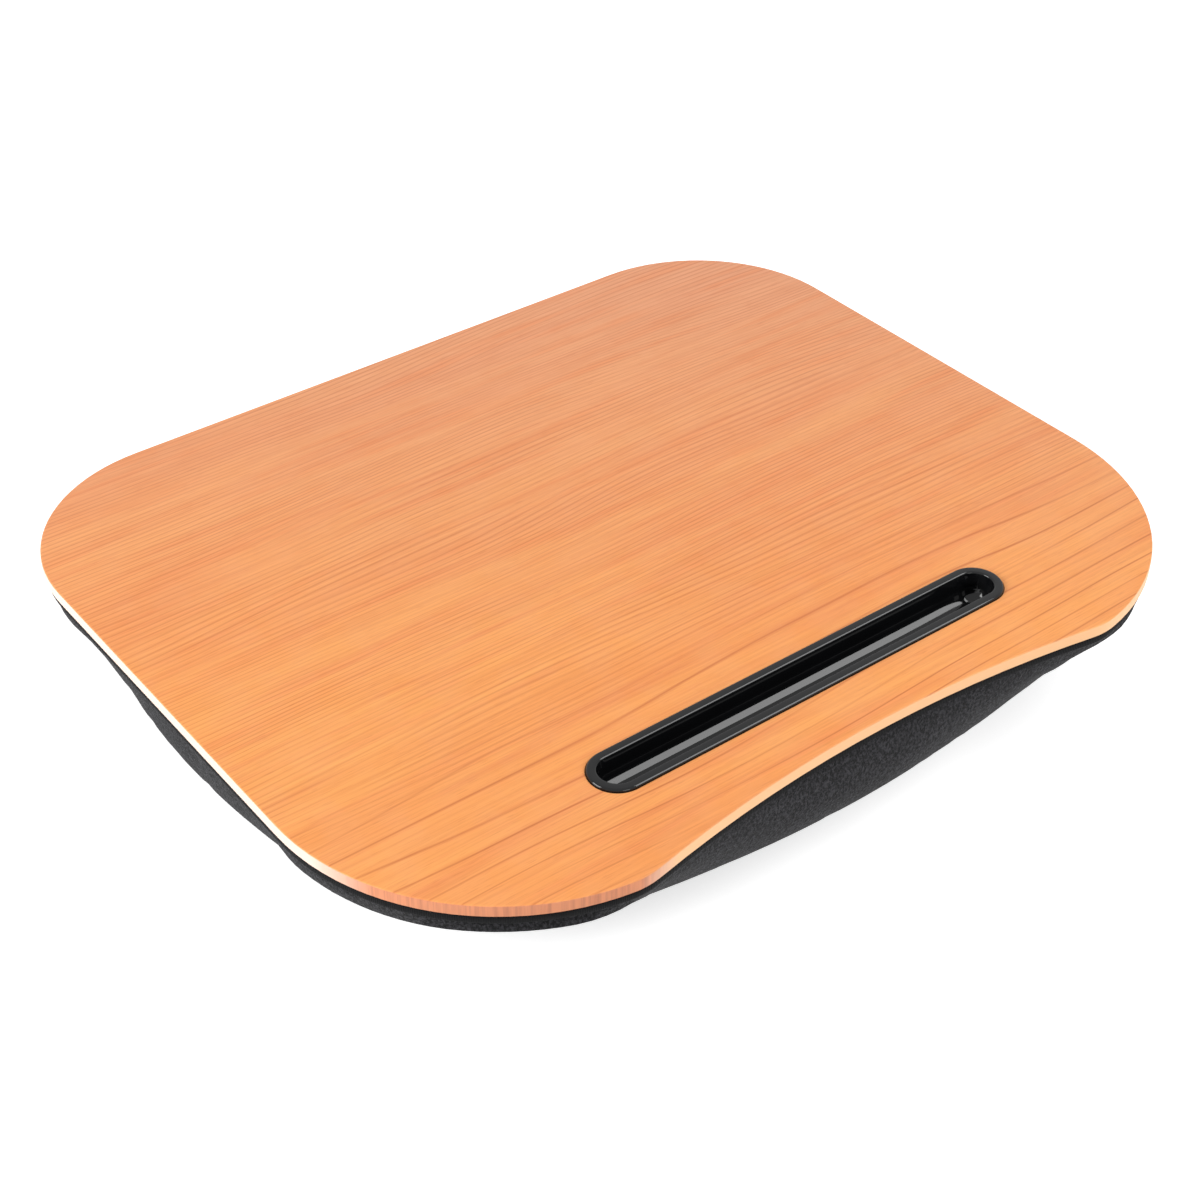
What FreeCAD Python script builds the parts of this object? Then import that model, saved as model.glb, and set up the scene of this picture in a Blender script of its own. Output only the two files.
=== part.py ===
import FreeCAD, Part
import math
import os
import re
import Sketcher
from FreeCAD import Vector

# A lap desk: a wood-effect board with a drop-in pen tray, held by hook-and-loop pads on a
# zipped fleece cushion that is filled with beads. The origin is on the floor under the middle
# of the part, +X runs along the long side, +Y away from the user's belly, +Z up. Millimetres.

SIZES = {
    # Board: outline seen from above, and its layers
    "board_width": 450.0,
    "board_depth": 376.4,
    "back_corner": 80.0,
    "front_corner": 110.0,
    "belly_depth": 12.3,
    "horn_setback": 97.7,
    "horn_radius": 35.0,
    "foil_thickness": 0.3,
    "core_thickness": 5.0,
    "backing_thickness": 0.2,
    # Pen tray: rim and trough
    "tray_length": 226.5,
    "tray_width": 25.6,
    "tray_setback": 41.1,
    "rim_width": 4.4,
    "rim_height": 1.4,
    "rim_round": 0.8,
    "trough_depth": 12.5,
    "trough_wall": 1.2,
    "trough_fillet": 6.5,
    "trough_corner": 3.0,
    "lip_fillet": 0.7,
    "slot_clearance": 0.4,
    # Hook-and-loop pads between the board and the cushion
    "pad_length": 60.0,
    "pad_width": 25.0,
    "hook_thickness": 1.0,
    "loop_thickness": 1.0,
    # Cushion cover
    "cushion_height": 57.5,
    "panel_thickness": 1.2,
    "fleece_thickness": 2.2,
    "binding_inset": 1.0,
    "binding_width": 5.5,
    "binding_height": 4.5,
    "binding_proud": 1.0,
    "thread_inset": 2.2,
    "thread_width": 0.6,
    "wall_inset": 4.5,
    "bulge_inset": 3.6,
    "side_draw": 43.0,
    "back_draw": 43.0,
    "front_draw": 48.2,
    "corner_draw": 64.0,
    "shoulder_depth": 5.6,
    "shoulder_inset": 6.2,
    "shoulder_corner": 108.0,
    "shoulder_radius": 60.0,
    "dent_clearance": 0.5,
    # Inner bag and beads
    "bag_slack": 2.0,
    "bag_thickness": 0.4,
    "soft_gap": 0.3,
    # Zip along the straight rear wall
    "zip_drop": 7.5,
    "zip_margin": 18.9,
    "tape_spare": 12.0,
    "tape_width": 6.7,
    "tape_thickness": 0.5,
    "tape_slit": 1.6,
    "tape_cover": 1.2,
    "tooth_pitch": 3.0,
    "tooth_width": 1.2,
    "tooth_reach": 0.9,
    "spine_inner": 1.4,
    "spine_outer": 2.6,
    "chain_thickness": 1.6,
    "stop_length": 2.4,
    "window_margin": 1.4,
    "zip_clearance": 0.25,
    "slider_length": 8.5,
    "slider_plate": 1.0,
    "slider_back_plate": 0.75,
    "slider_lip": 0.75,
    "post_length": 1.6,
    "post_width": 1.0,
    "post_end": 0.8,
    "bail_length": 7.4,
    "bail_width": 1.6,
    "bail_leg": 0.8,
    "bail_bar": 0.7,
    "pull_thickness": 0.9,
    "pull_arm": 0.9,
    "pull_length": 22.0,
    "pull_tab_length": 17.4,
    "pull_gap": 0.3,
    "overrun": 2.0,
}

# Places worked out from the sizes above, by name, in the order in which they build on each other
PLACES = {
    "half_width": "board_width / 2",
    "half_depth": "board_depth / 2",
    "horn_x": "half_width - horn_setback",
    "belly_radius": "(horn_x ^ 2 + belly_depth ^ 2) / (2 * belly_depth) - horn_radius",
    "belly_centre": "half_depth - belly_depth + belly_radius",
    "corner_x": "half_width - front_corner",
    "corner_rise": "sqrt((front_corner - horn_radius) ^ 2 - (horn_x - corner_x) ^ 2)",
    "front_line": "half_depth + front_corner - horn_radius - corner_rise",
    "board_bottom": "cushion_height + loop_thickness + hook_thickness",
    "board_thickness": "backing_thickness + core_thickness + foil_thickness",
    "board_top": "board_bottom + board_thickness",
    "core_bottom": "board_bottom + backing_thickness",
    "tray_y": "half_depth - belly_depth - tray_setback",
    "opening_length": "tray_length - 2 * rim_width",
    "opening_width": "tray_width - 2 * rim_width",
    "trough_length": "opening_length + 2 * trough_wall",
    "trough_width": "opening_width + 2 * trough_wall",
    "trough_floor": "board_top - trough_depth",
    "trough_bottom": "trough_floor - trough_wall",
    "slot_length": "trough_length + 2 * slot_clearance",
    "slot_width": "trough_width + 2 * slot_clearance",
    "rebate_length": "tray_length + 2 * slot_clearance",
    "rebate_width": "tray_width + 2 * slot_clearance",
    "rim_bottom": "board_top - foil_thickness",
    "panel_bottom": "cushion_height - panel_thickness",
    "panel_inset": "binding_inset + binding_width",
    "binding_top": "cushion_height + binding_proud",
    "wall_top": "binding_top - binding_height",
    "dent_floor": "trough_bottom - dent_clearance",
    "bag_inset": "fleece_thickness + bag_slack",
    "bag_floor": "fleece_thickness + soft_gap",
    "bag_top": "panel_bottom - soft_gap",
    "rear_wall": "half_depth - wall_inset",
    "zip_z": "wall_top - zip_drop",
    "tooth_count": "floor((board_width - 2 * back_corner - 2 * zip_margin) / tooth_pitch)",
    "chain_length": "tooth_count * tooth_pitch",
    "tape_length": "chain_length + 2 * tape_spare",
    "tape_outer": "rear_wall - tape_cover",
    "tape_inner": "tape_outer - tape_thickness",
    "chain_outer": "tape_outer + chain_thickness",
    "window_half": "spine_outer + window_margin",
    "slider_half": "spine_outer + zip_clearance + slider_lip",
    "slider_x": "chain_length / 2 + zip_clearance + post_length + post_end - slider_length / 2",
    "stop_x": "slider_x + slider_length / 2 + zip_clearance",
    "window_start": "chain_length / 2 + stop_length + window_margin",
    "slider_face": "chain_outer + zip_clearance + slider_plate",
    "pull_y": "slider_face + zip_clearance + pull_thickness / 2",
    "bail_top": "pull_y + pull_thickness / 2 + zip_clearance + bail_bar",
}

# Levels of the cushion's wall below its first two: height as a share of the wall's height, how
# far the side, back, front middle and front corner are drawn in as shares of their draw, the
# back corner's radius as a share of the board's, and how far the wall leans over in degrees
LEVEL_SHARES = (
    (0.704, 0.098, 0.105, 0.183, 0.227, 1.15, 5.0),
    (0.556, 0.153, 0.163, 0.203, 0.352, 1.21, 20.0),
    (0.370, 0.314, 0.326, 0.353, 0.539, 1.16, 40.0),
    (0.185, 0.500, 0.535, 0.544, 0.719, 1.06, 55.0),
    (0.056, 0.744, 0.767, 0.793, 0.883, 0.93, 75.0),
    (0.000, 1.000, 1.000, 1.000, 1.000, 0.81, 90.0),
)
SHOULDER_HEIGHT_SHARE = 0.852
CORNER_SHIFT_SHARES = (0.27, 0.50)
BACK_BOW_SHARE = 0.8
FRONT_SPLIT_SHARE = 0.88
HORN_SEARCH_SHARE = 0.33
# Middles of the hook-and-loop pads as shares of the board's half width and half depth
PAD_SHARES = ((-0.62, 0.66), (0.62, 0.66), (0.0, 0.12), (-0.72, -0.42), (0.72, -0.42))

doc = FreeCAD.newDocument("LapDesk")
sheet = doc.addObject("Spreadsheet::Sheet", "Sizes")
for row, (name, number) in enumerate(SIZES.items(), start=1):
    sheet.set(f"A{row}", name)
    sheet.set(f"B{row}", str(number))
    sheet.setAlias(f"B{row}", name)
doc.recompute()


def expand(text):
    """Turn a formula in size and place names into one that the document can read."""

    def swap(match):
        word = match.group(0)
        if word in SIZES:
            return "Sizes." + word
        if word in PLACES:
            return "(" + expand(PLACES[word]) + ")"
        return word

    return re.sub(r"[a-z_]+", swap, text)


def bind(thing, prop, text):
    thing.setExpression(prop, expand(text))


def value(text):
    return float(sheet.evalExpression(expand(text)))


# Sketches and solids


def new_sketch(body, name, height):
    """A sketch parallel to the floor at a height given as a formula."""
    sketch = body.newObject("Sketcher::SketchObject", name)
    floor = [plane for plane in body.Origin.OriginFeatures if plane.Role == "XY_Plane"][0]
    sketch.AttachmentSupport = [(floor, "")]
    sketch.MapMode = "FlatFace"
    bind(sketch, ".AttachmentOffset.Base.z", height)
    return sketch


def limit(sketch, name, text, *what):
    """A named constraint whose value follows a formula."""
    index = sketch.addConstraint(Sketcher.Constraint(*what, value(text)))
    sketch.renameConstraint(index, name)
    bind(sketch, "Constraints." + name, text)


def rectangle_sketch(body, name, height, width, back, front):
    """A rectangle centred on X that runs from front ahead of the origin to back behind it."""
    sketch = new_sketch(body, name, height)
    side, near, far = value(width) / 2, -value(front), value(back)
    corners = [Vector(-side, near), Vector(side, near), Vector(side, far), Vector(-side, far)]
    for start, end in zip(corners, corners[1:] + corners[:1]):
        sketch.addGeometry(Part.LineSegment(start, end), False)
    for line in range(4):
        sketch.addConstraint(Sketcher.Constraint("Coincident", line, 2, (line + 1) % 4, 1))
    for line, way in ((1, "Vertical"), (2, "Horizontal"), (3, "Vertical")):
        sketch.addConstraint(Sketcher.Constraint(way, line))
    sketch.addConstraint(Sketcher.Constraint("Symmetric", 0, 1, 0, 2, -2))
    limit(sketch, "full_width", width, "DistanceX", 0, 1, 0, 2)
    limit(sketch, "back_edge", back, "DistanceY", -1, 1, 2, 1)
    limit(sketch, "front_edge", front, "DistanceY", 0, 1, -1, 1)
    return sketch


def obround_sketch(body, name, height, length, width):
    """A slot with round ends, along X at the tray's place."""
    sketch = new_sketch(body, name, height)
    radius, y = value(width) / 2, -value("tray_y")
    reach = value(length) / 2 - radius
    quarter = math.pi / 2
    right = Part.Circle(Vector(reach, y), Vector(0, 0, 1), radius)
    left = Part.Circle(Vector(-reach, y), Vector(0, 0, 1), radius)
    sketch.addGeometry(Part.LineSegment(Vector(-reach, y - radius), Vector(reach, y - radius)), False)
    sketch.addGeometry(Part.ArcOfCircle(right, -quarter, quarter), False)
    sketch.addGeometry(Part.LineSegment(Vector(reach, y + radius), Vector(-reach, y + radius)), False)
    sketch.addGeometry(Part.ArcOfCircle(left, quarter, 3 * quarter), False)
    for line in range(4):
        sketch.addConstraint(Sketcher.Constraint("Tangent", line, 2, (line + 1) % 4, 1))
    sketch.addConstraint(Sketcher.Constraint("Horizontal", 0))
    sketch.addConstraint(Sketcher.Constraint("Symmetric", 3, 3, 1, 3, -2))
    limit(sketch, "end_radius", f"({width}) / 2", "Radius", 1)
    limit(sketch, "end_spacing", f"({length}) - ({width})", "DistanceX", 3, 3, 1, 3)
    limit(sketch, "setback", "tray_y", "DistanceY", 1, 3, -1, 1)
    return sketch


def circle_sketch(body, name, height, radius, ahead):
    """A circle whose centre lies straight ahead of the origin."""
    sketch = new_sketch(body, name, height)
    centre = Vector(0, -value(ahead))
    sketch.addGeometry(Part.Circle(centre, Vector(0, 0, 1), value(radius)), False)
    limit(sketch, "circle_radius", radius, "Radius", 0)
    sketch.addConstraint(Sketcher.Constraint("PointOnObject", 0, 3, -2))
    limit(sketch, "ahead", ahead, "DistanceY", 0, 3, -1, 1)
    return sketch


def add_pad(body, sketch, length, down=False):
    pad = body.newObject("PartDesign::Pad", "Pad")
    pad.Profile = sketch
    pad.Reversed = down
    bind(pad, "Length", length)
    doc.recompute()
    return pad


def add_pocket(body, sketch, depth):
    """Cut downwards from the sketch by a depth given as a formula."""
    before = body.Shape.Volume
    pocket = body.newObject("PartDesign::Pocket", "Pocket")
    pocket.Profile = sketch
    bind(pocket, "Length", depth)
    doc.recompute()
    if body.Shape.Volume >= before:
        raise RuntimeError(f"{body.Label}: a pocket cut nothing")
    return pocket


def add_fillet(body, base, radius, chosen):
    """Round the edges of the base feature that the test picks."""
    names = [f"Edge{i}" for i, edge in enumerate(base.Shape.Edges, start=1) if chosen(edge)]
    fillet = body.newObject("PartDesign::Fillet", "Fillet")
    fillet.Base = (base, names)
    bind(fillet, "Radius", radius)
    doc.recompute()
    return fillet


def is_upright(edge):
    return isinstance(edge.Curve, Part.Line) and abs(edge.tangentAt(edge.FirstParameter).z) > 0.5


def is_level(edge, z):
    box = edge.BoundBox
    return math.isclose(box.ZMin, z, rel_tol=1e-6) and math.isclose(box.ZMax, z, rel_tol=1e-6)


def board_blank(label, inset, bottom, height):
    """A slab with the board's outline, set in all round by an inset given as a formula."""
    body = doc.addObject("PartDesign::Body", label)
    rectangle = rectangle_sketch(
        body,
        label + "_outline",
        bottom,
        f"board_width - 2 * ({inset})",
        f"half_depth - ({inset})",
        f"front_line - ({inset})",
    )
    slab = add_pad(body, rectangle, height)
    back = add_fillet(
        body,
        slab,
        f"back_corner - ({inset})",
        lambda edge: is_upright(edge) and edge.CenterOfMass.y > 0,
    )
    front = add_fillet(
        body,
        back,
        f"front_corner - ({inset})",
        lambda edge: is_upright(edge) and edge.CenterOfMass.y < 0,
    )
    belly = circle_sketch(
        body,
        label + "_belly",
        f"({bottom}) + ({height})",
        f"belly_radius + ({inset})",
        "belly_centre",
    )
    hollowed = add_pocket(body, belly, f"({height}) + overrun")
    horn_x, search = value("horn_x"), HORN_SEARCH_SHARE * value("horn_radius")
    horn_depth = value("front_corner - half_depth")
    add_fillet(
        body,
        hollowed,
        f"horn_radius - ({inset})",
        lambda edge: is_upright(edge)
        and abs(abs(edge.CenterOfMass.x) - horn_x) < search
        and edge.CenterOfMass.y < horn_depth,
    )
    return body


def obround_prism(label, length, width, bottom, height):
    body = doc.addObject("PartDesign::Body", label)
    add_pad(body, obround_sketch(body, label + "_outline", bottom, length, width), height)
    return body


def add_box(label, x, y, z, length, width, height):
    """A box from its lowest corner and its sizes along X, Y and Z, all formulas."""
    box = doc.addObject("Part::Box", label)
    for prop, text in (
        ("Placement.Base.x", x),
        ("Placement.Base.y", y),
        ("Placement.Base.z", z),
        ("Length", length),
        ("Width", width),
        ("Height", height),
    ):
        bind(box, prop, text)
    return box


def cut(label, base, *tools):
    """One solid or group with others taken away."""
    for number, tool in enumerate(tools, start=1):
        result = doc.addObject("Part::Cut", label if number == len(tools) else f"{label}_{number}")
        result.Base = base
        result.Tool = tool
        base = result
    return base


def fuse(label, pieces):
    result = doc.addObject("Part::MultiFuse", label)
    result.Shapes = pieces
    result.Refine = True
    return result


def group(label, pieces):
    """Separate solids that share one node."""
    result = doc.addObject("Part::Compound", label)
    result.Links = pieces
    return result


def shaped(label, shape):
    result = doc.addObject("Part::Feature", label)
    result.Shape = shape
    return result


# Board: core, foil over its top and edge, backing under it, hook pads stuck below. The foil is
# routed away under the tray's rim, so the rim sits on the core.


def make_board():
    slot = obround_prism(
        "slot_cutter",
        "slot_length",
        "slot_width",
        "board_bottom - overrun",
        "board_thickness + 2 * overrun",
    )
    rebate = obround_prism(
        "rebate_cutter",
        "rebate_length",
        "rebate_width",
        "board_bottom - overrun",
        "board_thickness + 2 * overrun",
    )
    core = board_blank("core_blank", "foil_thickness", "core_bottom", "core_thickness")
    backing = board_blank("backing_blank", "foil_thickness", "board_bottom", "backing_thickness")
    skin = board_blank("skin_blank", "0", "board_bottom", "board_thickness")
    filled = board_blank(
        "skin_cutter",
        "foil_thickness",
        "board_bottom - overrun",
        "overrun + board_thickness - foil_thickness",
    )
    return [
        cut("board_core", core, slot),
        cut("backing_foil", backing, slot),
        cut("top_foil", skin, filled, rebate),
        make_pads("hook_pads", "board_bottom - hook_thickness", "hook_thickness"),
    ]


def make_pads(label, bottom, height):
    pads = []
    for number, (across, back) in enumerate(PAD_SHARES, start=1):
        x = f"{across} * half_width - pad_length / 2"
        y = f"{back} * half_depth - pad_width / 2"
        pads.append(add_box(f"{label}_{number}", x, y, bottom, "pad_length", "pad_width", height))
    return group(label, pads)


# Pen tray: one moulding that drops into the board's slot and hangs by its rim


def make_pen_tray():
    body = doc.addObject("PartDesign::Body", "pen_tray")
    rim_sketch = obround_sketch(body, "rim_outline", "rim_bottom", "tray_length", "tray_width")
    rim = add_pad(body, rim_sketch, "rim_height + foil_thickness")
    rim_top = value("board_top + rim_height")
    add_fillet(body, rim, "rim_round", lambda edge: is_level(edge, rim_top))
    trough = obround_sketch(body, "trough_outline", "board_top", "trough_length", "trough_width")
    deep = add_pad(body, trough, "trough_depth + trough_wall", down=True)
    bottom = value("trough_bottom")
    add_fillet(body, deep, "trough_corner", lambda edge: is_level(edge, bottom))
    opening = obround_sketch(
        body, "opening_outline", "board_top + rim_height", "opening_length", "opening_width"
    )
    hollow = add_pocket(body, opening, "rim_height + trough_depth")
    floor, tray_y = value("trough_floor"), -value("tray_y")
    side = value("(opening_width + trough_wall) / 2")
    end = value("(opening_length + trough_wall) / 2")

    def is_inside(edge):
        box = edge.BoundBox
        return max(abs(box.YMax - tray_y), abs(box.YMin - tray_y)) < side and max(box.XMax, -box.XMin) < end

    rounded = add_fillet(
        body, hollow, "trough_fillet", lambda edge: is_level(edge, floor) and is_inside(edge)
    )
    add_fillet(body, rounded, "lip_fillet", lambda edge: is_level(edge, rim_top) and is_inside(edge))
    return body


# Cushion wall: one closed outline per level, from the board's own at the top to the floor patch


def arc(centre, radius, start, end):
    """The shorter arc of a circle from start to end."""
    middle = (start - centre) + (end - centre)
    middle.normalize()
    return Part.Arc(start, centre + middle * radius, end).toShape()


def touch(centre, radius, other):
    """Where a circle meets the one that it touches, whose centre is other."""
    way = other - centre
    way.normalize()
    return centre + way * radius


def mirrored(point):
    return Vector(-point.x, point.y, point.z)


def ring_wire(corner_points, arcs):
    """Join the right half's points and arcs with their mirror images into one closed wire."""
    back, side_top, side_bottom, shoulder, middle = corner_points
    edges = [Part.LineSegment(mirrored(back), back).toShape()]
    right = [back, side_top, side_bottom, shoulder, middle]
    for start, end, circle in zip(right, right[1:], arcs):
        edges.append(arc(*circle, start, end) if circle else Part.LineSegment(start, end).toShape())
    edges.append(arc(*arcs[-1], middle, mirrored(middle)))
    for start, end, circle in reversed(list(zip(right, right[1:], arcs))):
        start, end = mirrored(end), mirrored(start)
        if circle:
            edges.append(arc(mirrored(circle[0]), circle[1], start, end))
        else:
            edges.append(Part.LineSegment(start, end).toShape())
    return Part.Wire(edges)


def belly_outline(side, back, front, back_radius, front_radius, depth, horn, inset, z):
    """An outline with a hollow front, like the board's, set in all round by an inset."""
    horn_x = value("horn_x")
    belly = (horn_x**2 + depth**2) / (2 * depth) - horn
    horn_centre = Vector(horn_x, horn - front, z)
    reach = front_radius - horn
    rise = math.sqrt(reach**2 - (side - front_radius - horn_x) ** 2)
    corner = Vector(side - front_radius, horn_centre.y + rise, z)
    back_corner = Vector(side - back_radius, back - back_radius, z)
    belly_centre = Vector(0, depth - front - belly, z)
    points = [
        Vector(back_corner.x, back - inset, z),
        Vector(side - inset, back_corner.y, z),
        Vector(side - inset, corner.y, z),
        touch(corner, front_radius - inset, horn_centre),
        touch(belly_centre, belly + inset, horn_centre),
    ]
    arcs = [
        (back_corner, back_radius - inset),
        None,
        (corner, front_radius - inset),
        (horn_centre, horn - inset),
        (belly_centre, belly + inset),
    ]
    return ring_wire(points, arcs)


def bowed_side(side, corner, back_corner):
    """The large circle that touches both corner circles and reaches out to side."""
    low, high = corner[0].y, back_corner[0].y

    def radius_at(y, circle):
        gap = side - circle[0].x - circle[1]
        return ((circle[0].y - y) ** 2 / gap + gap) / 2 + circle[1]

    for _ in range(60):
        middle = (low + high) / 2
        if radius_at(middle, corner) < radius_at(middle, back_corner):
            low = middle
        else:
            high = middle
    radius = radius_at(low, corner)
    return Vector(side - radius, low, corner[0].z), radius


def crowned_outline(side, back, front, draw, back_radius, inset, z):
    """An outline that bows out between drawn-in corners, with a straight back for the zip."""
    shift_x, shift_y = (share * draw for share in CORNER_SHIFT_SHARES)
    radius = value("front_corner") - draw + (shift_x + shift_y) / math.sqrt(2)
    corner_y = value("front_corner - front_line") + shift_y
    corner = (Vector(value("corner_x") - shift_x, corner_y, z), radius)
    bow = side - corner[0].x - radius
    back_x = side - BACK_BOW_SHARE * bow - back_radius
    back_corner = (Vector(back_x, back - back_radius, z), back_radius)
    side_centre, side_radius = bowed_side(side, corner, back_corner)
    over = front + corner_y
    front_radius = (corner[0].x ** 2 + over**2 - radius**2) / (2 * (over - radius))
    front_centre = Vector(0, front_radius - front, z)
    shoulder = touch(front_centre, front_radius - inset, corner[0])
    split_x = shoulder.x * FRONT_SPLIT_SHARE
    split_drop = math.sqrt((front_radius - inset) ** 2 - split_x**2)
    points = [
        Vector(back_x, back - inset, z),
        touch(side_centre, side_radius - inset, back_corner[0]),
        touch(side_centre, side_radius - inset, corner[0]),
        shoulder,
        Vector(split_x, front_centre.y - split_drop, z),
    ]
    arcs = [
        (back_corner[0], back_radius - inset),
        (side_centre, side_radius - inset),
        (corner[0], radius - inset),
        (front_centre, front_radius - inset),
        (front_centre, front_radius - inset),
    ]
    return ring_wire(points, arcs)


def cushion_form(inset, rise, top=None):
    """The cushion's solid, set in from its wall by inset and up from its floor by rise."""
    wall_top = value("wall_top")
    edge_in = value("wall_inset")
    highest = belly_outline(
        value("half_width"),
        value("half_depth"),
        value("half_depth"),
        value("back_corner"),
        value("front_corner"),
        value("belly_depth"),
        value("horn_radius"),
        edge_in + inset,
        wall_top,
    )
    shoulder = belly_outline(
        value("half_width - bulge_inset"),
        value("half_depth - wall_inset"),
        value("half_depth - shoulder_inset"),
        value("back_corner"),
        value("shoulder_corner"),
        value("shoulder_depth"),
        value("shoulder_radius"),
        inset,
        SHOULDER_HEIGHT_SHARE * wall_top,
    )
    wires = [highest, shoulder]
    for height, side, back, front, draw, back_radius, lean in LEVEL_SHARES:
        lean = math.radians(lean)
        wires.append(
            crowned_outline(
                value("half_width") - side * value("side_draw"),
                value("half_depth") - back * value("back_draw"),
                value("half_depth") - front * value("front_draw"),
                draw * value("corner_draw"),
                back_radius * value("back_corner"),
                inset * math.cos(lean),
                height * wall_top + rise * math.sin(lean),
            )
        )
    body = Part.makeLoft(wires, True)
    if top is not None:
        body = body.fuse(Part.Face(highest).extrude(Vector(0, 0, top - wall_top))).removeSplitter()
    return body


def dent(label, clearance):
    """The hollow that the trough presses into the cushion, with clearance all round."""
    return obround_prism(
        label,
        f"trough_length + 2 * ({clearance})",
        f"trough_width + 2 * ({clearance})",
        f"trough_bottom - ({clearance})",
        f"board_top - trough_bottom + ({clearance})",
    )


def make_cushion():
    fleece = value("fleece_thickness")
    wall = shaped("wall_outer", cushion_form(0, 0))
    hollow = shaped("wall_inner", cushion_form(fleece, fleece))
    pocket = add_box(
        "tape_pocket",
        "-tape_length / 2",
        "tape_inner - slider_plate - overrun",
        "zip_z - tape_slit / 2 - tape_width",
        "tape_length",
        "tape_thickness + slider_plate + overrun",
        "tape_slit + 2 * tape_width + overrun",
    )
    window = add_box(
        "zip_window",
        "-window_start",
        "tape_inner",
        "zip_z - window_half",
        "window_start + stop_x + stop_length + window_margin",
        "tape_thickness + tape_cover + overrun",
        "2 * window_half",
    )
    base = cut("cushion_base", wall, hollow, pocket, window)

    panel_slab = board_blank("panel_slab", "panel_inset", "panel_bottom", "panel_thickness")
    cup = obround_prism(
        "dent_cup",
        "trough_length + 2 * (dent_clearance + panel_thickness)",
        "trough_width + 2 * (dent_clearance + panel_thickness)",
        "dent_floor - panel_thickness",
        "cushion_height - dent_floor + panel_thickness",
    )
    dented = fuse("panel_and_cup", [panel_slab, cup])
    panel = cut("cushion_top_panel", dented, dent("dent_hole", "dent_clearance"))

    binding = cut(
        "edge_binding",
        board_blank("binding_blank", "binding_inset", "wall_top", "binding_height"),
        board_blank("binding_cutter", "panel_inset", "wall_top - overrun", "binding_height + 2 * overrun"),
    )
    thread = cut(
        "binding_thread",
        board_blank("thread_blank", "thread_inset", "wall_top - thread_width / 2", "thread_width / 2"),
        board_blank("thread_cutter", "thread_inset + thread_width", "wall_top - overrun", "2 * overrun"),
    )

    cup_gap = "dent_clearance + panel_thickness + soft_gap"
    cloth = value("bag_thickness")
    bag_in, bag_up, bag_top = value("bag_inset"), value("bag_floor"), value("bag_top")
    bag_solid = cut(
        "bag_solid", shaped("bag_form", cushion_form(bag_in, bag_up, bag_top)), dent("bag_dent", cup_gap)
    )
    bag_space = cut(
        "bag_space",
        shaped("bag_hollow", cushion_form(bag_in + cloth, bag_up + cloth, bag_top - cloth)),
        dent("bag_inner_dent", cup_gap + " + bag_thickness"),
    )
    bag = cut("inner_bag", bag_solid, bag_space)
    step = cloth + value("soft_gap")
    beads = cut(
        "bead_filling",
        shaped("bead_form", cushion_form(bag_in + step, bag_up + step, bag_top - step)),
        dent("bead_dent", cup_gap + " + bag_thickness + soft_gap"),
    )
    loops = make_pads("loop_pads", "cushion_height", "loop_thickness")
    return [base, panel, binding, thread, bag, beads, loops]


# Zip: two tapes behind the fleece, interlocked teeth in the window, end stops, slider and pull


def tooth_row(upward):
    """One row of teeth as a single comb, its spine sewn to the tape's edge."""
    pitch, width, reach = value("tooth_pitch"), value("tooth_width"), value("tooth_reach")
    inner, outer, start = value("spine_inner"), value("spine_outer"), -value("chain_length / 2")
    count = round(value("tooth_count"))
    side = 1 if upward else -1
    z = value("zip_z")
    points = [(start, side * outer), (start, side * inner)]
    for number in range(count):
        first = start + number * pitch + (pitch / 2 if upward else 0) + (pitch / 2 - width) / 2
        last = first + width
        for x, height in ((first, inner), (first, -reach), (last, -reach), (last, inner)):
            points.append((x, side * height))
    end = start + value("chain_length")
    points += [(end, side * inner), (end, side * outer)]
    corners = [Vector(x, value("tape_outer"), z + height) for x, height in points]
    face = Part.Face(Part.makePolygon(corners + corners[:1]))
    return face.extrude(Vector(0, value("chain_thickness"), 0))


def make_zip():
    tapes = [
        add_box(
            f"tape_{name}",
            "-tape_length / 2",
            "tape_inner",
            bottom,
            "tape_length",
            "tape_thickness",
            "tape_width",
        )
        for name, bottom in (
            ("upper", "zip_z + tape_slit / 2"),
            ("lower", "zip_z - tape_slit / 2 - tape_width"),
        )
    ]
    teeth = shaped("zip_teeth", Part.makeCompound([tooth_row(True), tooth_row(False)]))
    stops = [
        add_box(
            "stop_open_end",
            "-chain_length / 2 - stop_length",
            "tape_outer",
            "zip_z - spine_outer",
            "stop_length",
            "chain_thickness",
            "2 * spine_outer",
        )
    ]
    for name, bottom in (("upper", "zip_z + spine_inner"), ("lower", "zip_z - spine_outer")):
        stops.append(
            add_box(
                f"stop_{name}",
                "stop_x",
                "tape_outer",
                bottom,
                "stop_length",
                "chain_thickness",
                "spine_outer - spine_inner",
            )
        )
    return [group("zip_tapes", tapes), teeth, group("zip_stops", stops)]


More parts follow.
